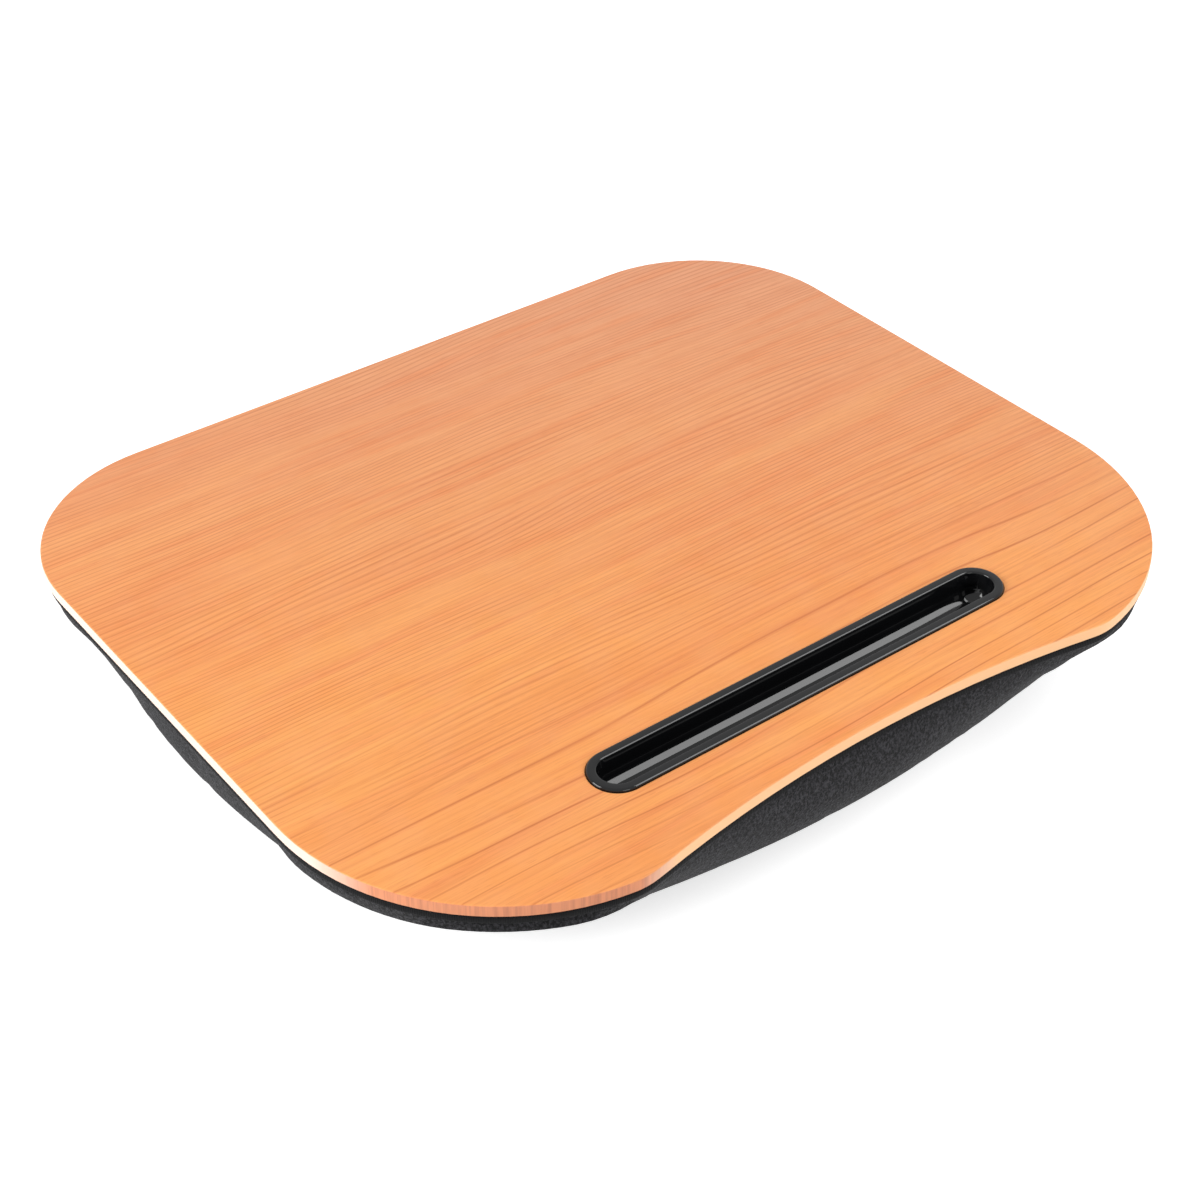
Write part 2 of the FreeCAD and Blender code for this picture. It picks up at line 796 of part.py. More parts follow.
def make_slider():
    start = "slider_x - slider_length / 2"
    half = "slider_half"
    front = add_box(
        "slider_front",
        start,
        "slider_face - slider_plate",
        f"zip_z - {half}",
        "slider_length",
        "slider_plate",
        f"2 * {half}",
    )
    back = add_box(
        "slider_back",
        start,
        "tape_inner - zip_clearance - slider_back_plate",
        f"zip_z - {half}",
        "slider_length",
        "slider_back_plate",
        f"2 * {half}",
    )
    pieces = [front, back]
    for name, bottom in (("upper", f"zip_z + {half} - slider_lip"), ("lower", f"zip_z - {half}")):
        pieces.append(
            add_box(
                f"slider_lip_{name}",
                start,
                "tape_outer + zip_clearance",
                bottom,
                "slider_length",
                "slider_face - slider_plate - tape_outer - zip_clearance",
                "slider_lip",
            )
        )
    pieces.append(
        add_box(
            "slider_post",
            "slider_x + slider_length / 2 - post_end - post_length",
            "tape_inner - zip_clearance",
            "zip_z - post_width / 2",
            "post_length",
            "slider_face - slider_plate - tape_inner + zip_clearance",
            "post_width",
        )
    )
    for name, leg in (("left", "-bail_length / 2"), ("right", "bail_length / 2 - bail_leg")):
        pieces.append(
            add_box(
                f"bail_{name}",
                f"slider_x + {leg}",
                "slider_face",
                "zip_z - bail_width / 2",
                "bail_leg",
                "bail_top - slider_face",
                "bail_width",
            )
        )
    pieces.append(
        add_box(
            "bail_bar",
            "slider_x - bail_length / 2",
            "bail_top - bail_bar",
            "zip_z - bail_width / 2",
            "bail_length",
            "bail_bar",
            "bail_width",
        )
    )
    return fuse("zip_slider", pieces)


def make_pull():
    half = "(bail_width / 2 + pull_gap + pull_arm)"
    radius = "pull_thickness / 2"
    bar = doc.addObject("Part::Cylinder", "pull_bar")
    bind(bar, "Radius", radius)
    bind(bar, "Height", f"2 * {half}")
    bind(bar, "Placement.Base.x", "slider_x")
    bind(bar, "Placement.Base.y", "pull_y")
    bind(bar, "Placement.Base.z", f"zip_z - {half}")
    pieces = [bar]
    for name, bottom in (("upper", f"zip_z + {half} - pull_arm"), ("lower", f"zip_z - {half}")):
        pieces.append(
            add_box(
                f"pull_arm_{name}",
                "slider_x - pull_length",
                f"pull_y - {radius}",
                bottom,
                "pull_length",
                "pull_thickness",
                "pull_arm",
            )
        )
    pieces.append(
        add_box(
            "pull_tab",
            "slider_x - pull_length",
            f"pull_y - {radius}",
            f"zip_z - {half}",
            "pull_tab_length",
            "pull_thickness",
            f"2 * {half}",
        )
    )
    return fuse("zip_pull", pieces)


nodes = make_board() + [make_pen_tray()] + make_cushion() + make_zip() + [make_slider(), make_pull()]
doc.recompute()

for thing in doc.Objects:
    if "Invalid" in thing.State or "Error" in thing.State:
        raise RuntimeError(f"{thing.Label} is {thing.State}")
for node in nodes:
    if node.Shape.isNull() or not node.Shape.isValid():
        raise RuntimeError(f"{node.Label} has no valid shape")

os.makedirs("parts", exist_ok=True)
for node in nodes:
    node.Shape.exportStep(f"parts/{node.Label}.step")
    box = node.Shape.BoundBox
    corners = (box.XMin, box.XMax, box.YMin, box.YMax, box.ZMin, box.ZMax)
    print(f"{node.Label:18} {len(node.Shape.Solids):3} solids", *(f"{corner:7.1f}" for corner in corners))
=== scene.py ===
import math

import bmesh
import bpy
from mathutils import Matrix, Vector, geometry, noise
from mathutils.bvhtree import BVHTree


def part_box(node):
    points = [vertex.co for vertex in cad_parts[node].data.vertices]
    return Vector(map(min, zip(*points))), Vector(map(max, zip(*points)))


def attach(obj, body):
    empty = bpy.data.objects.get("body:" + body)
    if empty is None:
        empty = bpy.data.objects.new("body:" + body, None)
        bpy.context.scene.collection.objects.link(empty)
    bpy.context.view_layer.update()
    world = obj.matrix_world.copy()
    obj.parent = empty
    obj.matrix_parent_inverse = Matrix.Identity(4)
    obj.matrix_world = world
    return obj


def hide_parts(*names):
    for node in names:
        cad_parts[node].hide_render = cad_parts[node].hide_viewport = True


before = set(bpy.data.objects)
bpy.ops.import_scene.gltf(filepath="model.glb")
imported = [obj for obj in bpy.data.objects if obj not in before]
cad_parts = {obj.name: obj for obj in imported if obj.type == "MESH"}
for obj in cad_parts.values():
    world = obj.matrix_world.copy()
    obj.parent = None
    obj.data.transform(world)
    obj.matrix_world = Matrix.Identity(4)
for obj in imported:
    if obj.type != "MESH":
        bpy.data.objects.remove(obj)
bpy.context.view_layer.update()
MM = 0.001

# Camera
# The photograph looks down on the front left corner from the user's left, through a lens of
# about 64 mm on a 36 mm wide sensor. The picture is square.
CAMERA_TARGET = Vector((-37.8, -41.6, 65.0)) * MM
CAMERA_DISTANCE = 944.6 * MM
CAMERA_AZIMUTH = math.radians(-37.46)
CAMERA_ELEVATION = math.radians(37.53)

camera = bpy.data.objects.new("camera", bpy.data.cameras.new("camera"))
camera.data.lens = 64.34
camera.data.sensor_width = 36.0
camera.data.clip_start = 10 * MM
bpy.context.scene.collection.objects.link(camera)
bpy.context.scene.camera = camera
toward_camera = Vector(
    (
        math.sin(CAMERA_AZIMUTH) * math.cos(CAMERA_ELEVATION),
        -math.cos(CAMERA_AZIMUTH) * math.cos(CAMERA_ELEVATION),
        math.sin(CAMERA_ELEVATION),
    )
)
camera.location = CAMERA_TARGET + toward_camera * CAMERA_DISTANCE
camera.rotation_euler = (-toward_camera).to_track_quat("-Z", "Y").to_euler()


# Bead filling
# Thousands of expanded polystyrene beads, about 3 mm across, poured into the inner bag. One
# solid stands for them all, with the beads' lumps on its skin. The closed bag hides it.
BEAD_MM = 3.0
BEAD_COLOUR = "#F2F2F0"
BEAD_SHADE = "#C9C9C6"


def linear(hex_colour):
    """The linear colour that a shader takes, from an sRGB hex value."""
    shares = [int(hex_colour[start : start + 2], 16) / 255 for start in (1, 3, 5)]
    return [
        share / 12.92 if share <= 0.04045 else ((share + 0.055) / 1.055) ** 2.4 for share in shares
    ] + [1.0]


def fill(tree, node, inputs):
    """Fill a node's inputs with values or with links."""
    for name, source in inputs.items():
        if isinstance(source, bpy.types.NodeSocket):
            tree.links.new(source, node.inputs[name])
        else:
            node.inputs[name].default_value = source


def add_node(tree, kind, inputs, **settings):
    """Add a node, choose its settings, and fill its inputs."""
    node = tree.nodes.new(kind)
    for name, setting in settings.items():
        setattr(node, name, setting)
    fill(tree, node, inputs)
    return node


def object_place(tree):
    """A link to the place on the object, in metres."""
    return add_node(tree, "ShaderNodeTexCoord", {}).outputs["Object"]


def start_material(name):
    """A new material with its node tree and its Principled shader."""
    material = bpy.data.materials.new(name)
    material.use_nodes = True
    return material, material.node_tree, material.node_tree.nodes["Principled BSDF"]


def mottle(tree, sizes_mm, detail=2.0, roughness=0.5):
    """Soft random patches, from 0 to 1, with a real size in millimetres along X, Y and Z."""
    stretch = {"Vector": object_place(tree), "Scale": [1000 / size for size in sizes_mm]}
    spread = add_node(tree, "ShaderNodeMapping", stretch).outputs[0]
    settings = {"Vector": spread, "Scale": 1.0, "Detail": detail, "Roughness": roughness}
    return add_node(tree, "ShaderNodeTexNoise", settings).outputs[0]


def blend_colours(tree, share, first, second, way="MIX"):
    """Two colours, as hex values or links, mixed by a share that is a number or a link."""
    sources = {"Fac": share}
    for name, colour in (("Color1", first), ("Color2", second)):
        sources[name] = linear(colour) if isinstance(colour, str) else colour
    return add_node(tree, "ShaderNodeMixRGB", sources, blend_type=way).outputs[0]


def between(tree, source, low, high, start=0.0, end=1.0):
    """A link's value, from start where it is low to end where it is high."""
    limits = {"From Min": low, "From Max": high, "To Min": start, "To Max": end}
    return add_node(tree, "ShaderNodeMapRange", {"Value": source, **limits}).outputs[0]


def emboss(tree, shader, height, depth_mm, strength=1.0):
    """Give the shader relief from a height link, as deep as the depth."""
    settings = {"Height": height, "Distance": depth_mm * MM, "Strength": strength}
    fill(tree, shader, {"Normal": add_node(tree, "ShaderNodeBump", settings).outputs[0]})


def expanded_polystyrene():
    """Moulded foam beads: matt white, with painted shade in the gaps between one bead and the next."""
    material, tree, shader = start_material("expanded_polystyrene_beads")
    settings = {"Vector": object_place(tree), "Scale": 1000 / BEAD_MM}
    cells = add_node(tree, "ShaderNodeTexVoronoi", settings).outputs[0]
    # The darker colour in the gaps between beads is painted shade.
    shaded_crack = between(tree, cells, 0.35, 0.75)
    colour = blend_colours(tree, shaded_crack, BEAD_COLOUR, BEAD_SHADE)
    fill(tree, shader, {"Base Color": colour, "Roughness": 0.8})
    emboss(tree, shader, between(tree, shaded_crack, 0.0, 1.0, 1.0, 0.0), 0.6)
    return material


def even_copy(name, node, step_mm):
    """A copy of a closed CAD node's form in even quads of a size."""
    piece = show(name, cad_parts[node].data.copy())
    remesh = piece.modifiers.new("even", "REMESH")
    remesh.mode = "VOXEL"
    remesh.voxel_size = step_mm * MM
    depsgraph = bpy.context.evaluated_depsgraph_get()
    mesh = bpy.data.meshes.new_from_object(piece.evaluated_get(depsgraph))
    bpy.data.objects.remove(piece)
    return show(name, mesh, 180)


def show(name, mesh, smooth_degrees=40):
    """Put a mesh in the scene as a piece, smooth except at edges sharper than the angle."""
    mesh.name = name
    piece = bpy.data.objects.new(name, mesh)
    bpy.context.scene.collection.objects.link(piece)
    mesh.materials.clear()
    mesh.shade_smooth()
    mesh.set_sharp_from_angle(angle=math.radians(smooth_degrees))
    return piece


def finish_piece(piece, material, body, slot, *replaced):
    """Give a piece its material and body, and hide the CAD nodes that it stands for. The slot is not
    used.
    """
    piece.data.materials.append(material)
    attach(piece, body)
    if replaced:
        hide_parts(*replaced)


def swell(piece, patch_mm, least_mm, most_mm, seed):
    """Push a piece's surface out by patches of noise, between two distances."""
    mesh = piece.data
    normals = [vertex.normal.copy() for vertex in mesh.vertices]
    for vertex, normal in zip(mesh.vertices, normals):
        at = vertex.co / (patch_mm * MM) + Vector((seed, seed, seed))
        share = 0.5 + 0.5 * noise.noise(at)
        vertex.co += normal * (least_mm + share * (most_mm - least_mm)) * MM
    mesh.update()


beads = even_copy("polystyrene_beads", "bead_filling", 5.0)
swell(beads, 6.0, -1.2, 0.0, 3.1)
finish_piece(beads, expanded_polystyrene(), "cushion", "foam_beads", "bead_filling")


# Inner bag
# A thin bag of bonded polypropylene cloth that keeps the beads in when the cover is off for
# washing. It is sewn shut and lies loose in the cover, with shallow creases.
WELD_PITCH_MM = 1.5
BAG_COLOUR = "#DAD9D4"
BAG_SHADE = "#C3C2BC"


def bonded_polypropylene():
    """Bonded cloth: matt off-white, with a grid of small weld points 1.5 mm apart."""
    material, tree, shader = start_material("bonded_polypropylene_cloth")
    settings = {"Vector": object_place(tree), "Scale": 1000 / WELD_PITCH_MM, "Randomness": 0.0}
    welds = add_node(tree, "ShaderNodeTexVoronoi", settings).outputs[0]
    point = between(tree, welds, 0.2, 0.35, 1.0, 0.0)
    cloudy = blend_colours(tree, mottle(tree, (14, 14, 14)), BAG_COLOUR, BAG_SHADE)
    colour = blend_colours(tree, point, cloudy, BAG_SHADE)
    fill(tree, shader, {"Base Color": colour, "Roughness": 0.75, "Sheen Weight": 0.1})
    emboss(tree, shader, between(tree, point, 0.0, 1.0, 1.0, 0.0), 0.1)
    return material


bag = even_copy("bead_bag", "bead_filling", 5.0)
swell(bag, 30.0, 0.2, 0.6, 7.7)
finish_piece(bag, bonded_polypropylene(), "cushion", "bag_cloth", "inner_bag")


# Cushion cover
# Charcoal polyester fleece, cut as one wall and a floor panel and sewn to the top panel's
# binding. The beads press it out, and it wrinkles where the wall turns under at the corners.
COVER_SPACING_MM = 5.2
COVER_DEPTH_MM = 45.0
COVER_STEPS = 21
COVER_TOP_TILT = 27.0
COVER_TURN = 117.0
COVER_HEIGHT_MM = 30.0
COVER_THICKNESS_MM = 1.1
COVER_START_INSET_MM = 0.3
COVER_MOVE_MM = 0.7
FLOOR_RINGS = (0.86, 0.72, 0.58, 0.44, 0.3, 0.16, 0.05)
BEAD_PRESSURE = 3.0
COVER_STRETCH = 0.012
SIMULATION_FRAMES = 20
ZIP_MARGIN_MM = 1.4
ZIP_EASING_MM = 12.0
BACKWARD = 0.9  # the least y of a way out at the rear wall
OUTLINE_RAYS = 2400
FLEECE_DARK = "#0C0C0E"
FLEECE_LIGHT = "#3C3B3F"


def node_skin(node):
    """A CAD node's mesh, ready to be met by rays."""
    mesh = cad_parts[node].data
    corners = [vertex.co for vertex in mesh.vertices]
    return BVHTree.FromPolygons(corners, [face.vertices for face in mesh.polygons])


def outline(skin, height, spacing):
    """Evenly spaced points round a skin at one height, each with its way out."""
    hits = []
    for step in range(OUTLINE_RAYS):
        angle = math.tau * step / OUTLINE_RAYS
        way = Vector((math.cos(angle), math.sin(angle), 0.0))
        hit = skin.ray_cast(way + Vector((0.0, 0.0, height)), -way)[0]
        if hit is not None:
            hits.append(hit)
    runs = [(end - start).length for start, end in zip(hits, hits[1:] + hits[:1])]
    count = round(sum(runs) / spacing)
    step = sum(runs) / count
    points, walked, index = [], 0.0, 0
    for number in range(count):
        target = number * step
        while walked + runs[index] < target:
            walked += runs[index]
            index += 1
        start, end = hits[index], hits[(index + 1) % len(hits)]
        points.append(start.lerp(end, (target - walked) / runs[index]))
    ring = []
    for number, point in enumerate(points):
        along = points[(number + 1) % count] - points[number - 1]
        ring.append((point, Vector((along.y, -along.x, 0.0)).normalized()))
    return ring


def bridge(rings, closed_section=False):
    """Quads between rings of equal length, and between the last and first where asked."""
    count = len(rings[0])
    faces = []
    pairs = list(zip(range(len(rings)), range(1, len(rings))))
    if closed_section:
        pairs.append((len(rings) - 1, 0))
    for low, high in pairs:
        for number in range(count):
            here, after = low * count + number, low * count + (number + 1) % count
            rise = (high - low) * count
            faces.append((here, after, after + rise, here + rise))
    return faces


def cover_rings():
    """Rings of points on the cover's CAD form: its wall from the top down, then its floor.
    Where a ray goes in through the zip's slit, the wall just past the zip's end stands in."""
    skin = node_skin("cushion_base")
    low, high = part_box("cushion_base")
    middle = outline(skin, COVER_HEIGHT_MM * MM, COVER_SPACING_MM * MM)
    cores = [point - out * COVER_DEPTH_MM * MM for point, out in middle]
    zip_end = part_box("zip_tapes")[1].x
    behind = [number for number, (point, out) in enumerate(middle) if out.y > BACKWARD]
    spare = [number for number in behind if 0 < middle[number][0].x - zip_end < 10 * MM][0]
    rings = []
    for step in range(COVER_STEPS):
        tilt = math.radians(COVER_TOP_TILT - COVER_TURN * step / (COVER_STEPS - 1))
        ring = []
        for core, (point, out) in zip(cores, middle):
            way = out * math.cos(tilt) + Vector((0.0, 0.0, math.sin(tilt)))
            hit = skin.ray_cast(core + way * 0.2, -way)[0]
            if step == 0:
                edge = Vector((point.x, point.y, high.z - 0.1 * MM))
                hit = skin.ray_cast(edge + out * 0.1, -out)[0]
                hit.z = high.z
            ring.append(hit)
        for number in behind:
            x = middle[number][0].x
            if abs(x) < zip_end + 1 * MM and ring[number].y < ring[spare].y:
                ring[number] = Vector((x, ring[spare].y, ring[spare].z))
        rings.append(ring)
    foot = rings[COVER_STEPS - 1]
    for share in FLOOR_RINGS:
        rings.append([Vector((point.x * share, point.y * share, low.z)) for point in foot])
    return rings, [out for point, out in middle]


def looseness(point, out):
    """How freely the cover moves at a point, from 0 along the stiff zip to 1 away from it."""
    if out.y < BACKWARD:
        return 1.0
    beyond = abs(point.x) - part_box("zip_tapes")[1].x
    return min(max(beyond / (ZIP_EASING_MM * MM), 0.0), 1.0)


def inflate(piece, held, rest, loose):
    """Blow the cover up with simulated beads, held at its seam and on the floor."""
    group = piece.vertex_groups.new(name="held")
    for number, share in enumerate(held):
        if share > 0:
            group.add([number], share, "REPLACE")
    cloth = piece.modifiers.new("fabric", "CLOTH")
    settings = cloth.settings
    settings.quality = 6
    settings.mass = 0.25
    settings.tension_stiffness = 18
    settings.compression_stiffness = 18
    settings.shear_stiffness = 6
    settings.bending_stiffness = 0.35
    settings.use_pressure = True
    settings.uniform_pressure_force = BEAD_PRESSURE
    settings.shrink_min = -COVER_STRETCH
    settings.effector_weights.gravity = 0.0
    settings.vertex_group_mass = "held"
    cloth.collision_settings.use_collision = False
    for number in range(1, SIMULATION_FRAMES + 1):
        bpy.context.scene.frame_set(number)
    depsgraph = bpy.context.evaluated_depsgraph_get()
    blown = [vertex.co.copy() for vertex in piece.evaluated_get(depsgraph).data.vertices]
    piece.modifiers.remove(cloth)
    piece.vertex_groups.remove(group)
    bpy.context.scene.frame_set(1)
    for vertex, there, home, share in zip(piece.data.vertices, blown, rest, loose):
        move = (there - home) * share
        if move.length > COVER_MOVE_MM * MM:
            move *= COVER_MOVE_MM * MM / move.length
        vertex.co = home + move
        vertex.co.z = max(vertex.co.z, 0.0)


def bake_modifiers(piece):
    """Apply all of a piece's modifiers to its mesh."""
    depsgraph = bpy.context.evaluated_depsgraph_get()
    mesh = bpy.data.meshes.new_from_object(piece.evaluated_get(depsgraph))
    piece.modifiers.clear()
    mesh.name = piece.name
    piece.data = mesh


def thicken(piece, thickness_mm):
    """Give a sheet a thickness below its face, as real geometry."""
    solid = piece.modifiers.new("thickness", "SOLIDIFY")
    solid.thickness = thickness_mm * MM
    solid.offset = -1.0
    bake_modifiers(piece)


def cut_window(piece, low, high):
    """Cut a straight-sided window through a piece, between two corners."""
    corners = [(x, y, z) for x in (low.x, high.x) for y in (low.y, high.y) for z in (low.z, high.z)]
    sides = [(0, 1, 3, 2), (4, 6, 7, 5), (0, 4, 5, 1), (2, 3, 7, 6), (0, 2, 6, 4), (1, 5, 7, 3)]
    mesh = bpy.data.meshes.new("window")
    mesh.from_pydata(corners, [], sides)
    cutter = bpy.data.objects.new("window", mesh)
    bpy.context.scene.collection.objects.link(cutter)
    opening = piece.modifiers.new("window", "BOOLEAN")
    opening.object = cutter
    opening.operation = "DIFFERENCE"
    opening.solver = "EXACT"
    bake_modifiers(piece)
    bpy.data.objects.remove(cutter)


def polyester_fleece():
    """Brushed knit: dark and soft, a lint of lighter fibre tips in clumps about 1 mm across,
    coarser than the real fibres so that they show."""
    material, tree, shader = start_material("charcoal_polyester_fleece")
    clumps = mottle(tree, (1.3, 1.3, 1.3), 3.0, 0.7)
    patches = mottle(tree, (28, 28, 18), 2.0)
    tips = between(tree, clumps, 0.44, 0.62)
    worn = blend_colours(tree, tips, FLEECE_DARK, FLEECE_LIGHT)
    shaded = blend_colours(tree, between(tree, patches, 0.3, 0.7, 0.0, 0.3), worn, FLEECE_DARK)
    fill(tree, shader, {"Base Color": shaded, "Roughness": 0.95, "Specular IOR Level": 0.2})
    fill(tree, shader, {"Sheen Weight": 0.1, "Sheen Roughness": 0.6})
    emboss(tree, shader, clumps, 0.9)
    return material


rings, ways_out = cover_rings()
count = len(rings[0])
starts, held, loose = [], [], []
for level, ring in enumerate(rings):
    fixed = level == 0 or level >= COVER_STEPS
    held += [1.0 if fixed else 0.0] * count
    lift = min(level, 3) / 3 * (0.0 if fixed else 1.0)
    for point, out in zip(ring, ways_out):
        loose.append(looseness(point, out))
        starts.append(point - out * COVER_START_INSET_MM * MM * lift * loose[-1])
mesh = bpy.data.meshes.new("fleece_cover")
faces = bridge(rings)
faces.append(tuple((len(rings) - 1) * count + number for number in range(count)))
mesh.from_pydata([list(point) for point in starts], [], faces)
shape = bmesh.new()
shape.from_mesh(mesh)
bmesh.ops.recalc_face_normals(shape, faces=shape.faces)
shape.faces.ensure_lookup_table()
if shape.faces[len(faces) - 1].normal.z > 0:
    bmesh.ops.reverse_faces(shape, faces=shape.faces)
shape.to_mesh(mesh)
shape.free()
cover = show("fleece_cover", mesh, 180)
inflate(cover, held, starts, loose)
thicken(cover, COVER_THICKNESS_MM)
for vertex in cover.data.vertices:
    if vertex.co.z < -0.01 * MM:
        vertex.co.z = COVER_THICKNESS_MM * MM
stops_low, stops_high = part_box("zip_stops")
margin = Vector((ZIP_MARGIN_MM, 4.0, ZIP_MARGIN_MM)) * MM
cut_window(cover, stops_low - margin, stops_high + margin)
cover.data.set_sharp_from_angle(angle=math.radians(65))
finish_piece(cover, polyester_fleece(), "cushion", "fleece", "cushion_base")


# Top panel
# A woven polyester lining sewn into the binding. It lies under the board with shallow ripples,
# and a pocket in it takes the pen trough, which stands out below the board.
LINING_STEP_MM = 6.0
LINING_RIPPLE_MM = 0.5
RIPPLE_LENGTH_MM = 34.0
RIPPLE_WIDTH_MM = 26.0
LINING_THICKNESS_MM = 0.9
LINING_COLOUR = "#242427"
LINING_SHADE = "#1A1A1C"
POCKET_FOOT_MM = 1.0
POCKET_SIDE_MM = 2.2
POCKET_RINGS_MM = (0.9, 1.3, 2.0, 2.7, 3.3)
TROUGH_RADIUS = 9.6 * MM
TROUGH_REACH = 100.45 * MM
TRAY_Y = -134.8 * MM


def obround(radius, reach, y, turns=24, runs=30):
    """Points round a slot with round ends, along X, from its near left corner on."""
    points = []
    for way, start in ((1, -math.pi / 2), (-1, math.pi / 2)):
        for step in range(runs):
            points.append((way * reach * (2 * step / runs - 1), y - way * radius))
        for step in range(turns):
            angle = start + math.pi * step / turns
            points.append((way * reach + radius * math.cos(angle), y + radius * math.sin(angle)))
    return points


def from_obround(x, y):
    """How far a point is outside the trough's outline, in metres."""
    beyond = max(abs(x) - TROUGH_REACH, 0.0)
    return math.hypot(beyond, y - TRAY_Y) - TROUGH_RADIUS


def lining_height(x, y, low, high):
    """The panel's height: rippled, and sunk where the trough presses into it."""
    place = Vector((x / (RIPPLE_LENGTH_MM * MM), y / (RIPPLE_WIDTH_MM * MM), 4.2))
    flat = high - (0.5 + 0.5 * noise.noise(place)) * LINING_RIPPLE_MM * MM
    share = (from_obround(x, y) / MM - POCKET_FOOT_MM) / POCKET_SIDE_MM
    if share > 1.0:
        return flat
    if share < 0.0:
        return low
    return low + (flat - low) * share**0.5


def twill(name, base, shade, thread_mm, depth_mm):
    """Diagonal weave from crossed threads, with painted shade in the grooves between the raised wales.
    The threads are drawn at the given width.
    """
    material, tree, shader = start_material(name)
    turn = {"Vector": object_place(tree), "Rotation": (0.0, 0.0, math.radians(38))}
    turned = add_node(tree, "ShaderNodeMapping", turn).outputs[0]
    settings = {"Vector": turned, "Scale": 1000 / thread_mm / math.tau * 2.0}
    wales = add_node(tree, "ShaderNodeTexWave", settings, bands_direction="X").outputs["Fac"]
    # The grooves between the wales take the shade colour as painted shade, and the raised threads stay
    # lighter.
    painted_wale_shading = blend_colours(tree, between(tree, wales, 0.2, 0.9), shade, base)
    clouds = between(tree, mottle(tree, (20, 20, 20)), 0.3, 0.7, 0.0, 0.35)
    cloudy = blend_colours(tree, clouds, painted_wale_shading, shade)
    fill(tree, shader, {"Base Color": cloudy, "Roughness": 0.7, "Sheen Weight": 0.15})
    emboss(tree, shader, wales, depth_mm)
    return material


panel_low, panel_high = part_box("cushion_top_panel")
skin = node_skin("cushion_top_panel")
edge = [point for point, out in outline(skin, panel_high.z - 0.6 * MM, 4 * MM)]
loops = [[(point.x, point.y) for point in edge]]
for outside_mm in POCKET_RINGS_MM:
    loops.append(obround(TROUGH_RADIUS + outside_mm * MM, TROUGH_REACH, TRAY_Y, 20, 36))
points, edges = [], []
for loop in loops:
    edges += [(len(points) + n, len(points) + (n + 1) % len(loop)) for n in range(len(loop))]
    points += [Vector(point) for point in loop]
step = LINING_STEP_MM * MM
for column in range(-int(panel_high.x / step), int(panel_high.x / step) + 1):
    for row in range(int(panel_low.y / step), int(panel_high.y / step) + 1):
        x, y = column * step, row * step
        inside = skin.ray_cast(Vector((x, y, 1.0)), Vector((0, 0, -1)))[0]
        if inside is not None and from_obround(x, y) > 5 * MM:
            points.append(Vector((x, y)))
flat_points, flat_faces = geometry.delaunay_2d_cdt(points, edges, [], 1, 0.01 * MM)[0:3:2]
pocket_floor = panel_low.z + LINING_THICKNESS_MM * MM + 0.2 * MM
heights = [lining_height(p.x, p.y, pocket_floor, panel_high.z) for p in flat_points]
mesh = bpy.data.meshes.new("lining_panel")
mesh.from_pydata([(p.x, p.y, z) for p, z in zip(flat_points, heights)], [], flat_faces)
lining = show("lining_panel", mesh, 60)
thicken(lining, LINING_THICKNESS_MM)
lining_cloth = twill("black_polyester_lining", LINING_COLOUR, LINING_SHADE, 1.2, 0.15)
finish_piece(lining, lining_cloth, "cushion", "lining", "cushion_top_panel")


# Edge binding
# A woven polyester tape folded round the raw edges of the wall and the top panel. Its ribs run
# across it. It is the dark band that follows the board's edge.
BINDING_HALF_WIDTH_MM = 2.75
BINDING_HALF_HEIGHT_MM = 2.25
RIB_MM = 0.9
TAPE_COLOUR = "#111112"
TAPE_SHADE = "#080809"
TAPE_LINT = "#1C1C1E"


def ring_sweep(name, ring, section, smooth_degrees=50):
    """A closed band: the section's points, out and up, carried round a ring of points."""
    rings = []
    for across, up in section:
        rings.append([point + out * across + Vector((0, 0, up)) for point, out in ring])
    mesh = bpy.data.meshes.new(name)
    mesh.from_pydata([tuple(point) for points in rings for point in points], [], bridge(rings, True))
    length = sum((ring[n][0] - ring[n - 1][0]).length for n in range(len(ring)))
    along = mesh.attributes.new("along", "FLOAT", "POINT")
    for level in range(len(rings)):
        for number in range(len(ring)):
            along.data[level * len(ring) + number].value = length * number / len(ring)
    return show(name, mesh, smooth_degrees)


def calculate(tree, operation, *sources):
    """A link to the result of one sum on numbers or links."""
    inputs = dict(enumerate(sources))
    return add_node(tree, "ShaderNodeMath", inputs, operation=operation).outputs[0]


def ribbed_tape(name, base, shade, rib_mm, depth_mm):
    """Woven tape: satin ribs across the tape, with painted shade between the ribs, and soft wear. The
    ribs are drawn coarse to show.
    """
    material, tree, shader = start_material(name)
    along = add_node(tree, "ShaderNodeAttribute", {}, attribute_name="along").outputs["Fac"]
    turns = calculate(tree, "MULTIPLY", along, math.tau * 1000 / rib_mm)
    raised = between(tree, calculate(tree, "SINE", turns), -1.0, 1.0)
    # Between the ribs the colour goes to the shade tone: painted shade.
    cloth = blend_colours(tree, between(tree, raised, 0.0, 0.7), shade, base)
    lint = between(tree, mottle(tree, (2.0, 2.0, 2.0), 3.0), 0.45, 0.75, 0.0, 0.4)
    worn = blend_colours(tree, lint, cloth, TAPE_LINT)
    fill(tree, shader, {"Base Color": worn, "Roughness": 0.8, "Specular IOR Level": 0.15})
    emboss(tree, shader, raised, depth_mm)
    return material


def rounded_section(half_width, half_height, corners=20, power=0.55):
    """A section like a pillow, centred on zero."""
    section = []
    for step in range(corners):
        angle = math.tau * step / corners
        across, up = math.cos(angle), math.sin(angle)
        section.append(
            (
                math.copysign(abs(across) ** power, across) * half_width,
                math.copysign(abs(up) ** power, up) * half_height,
            )
        )
    return section


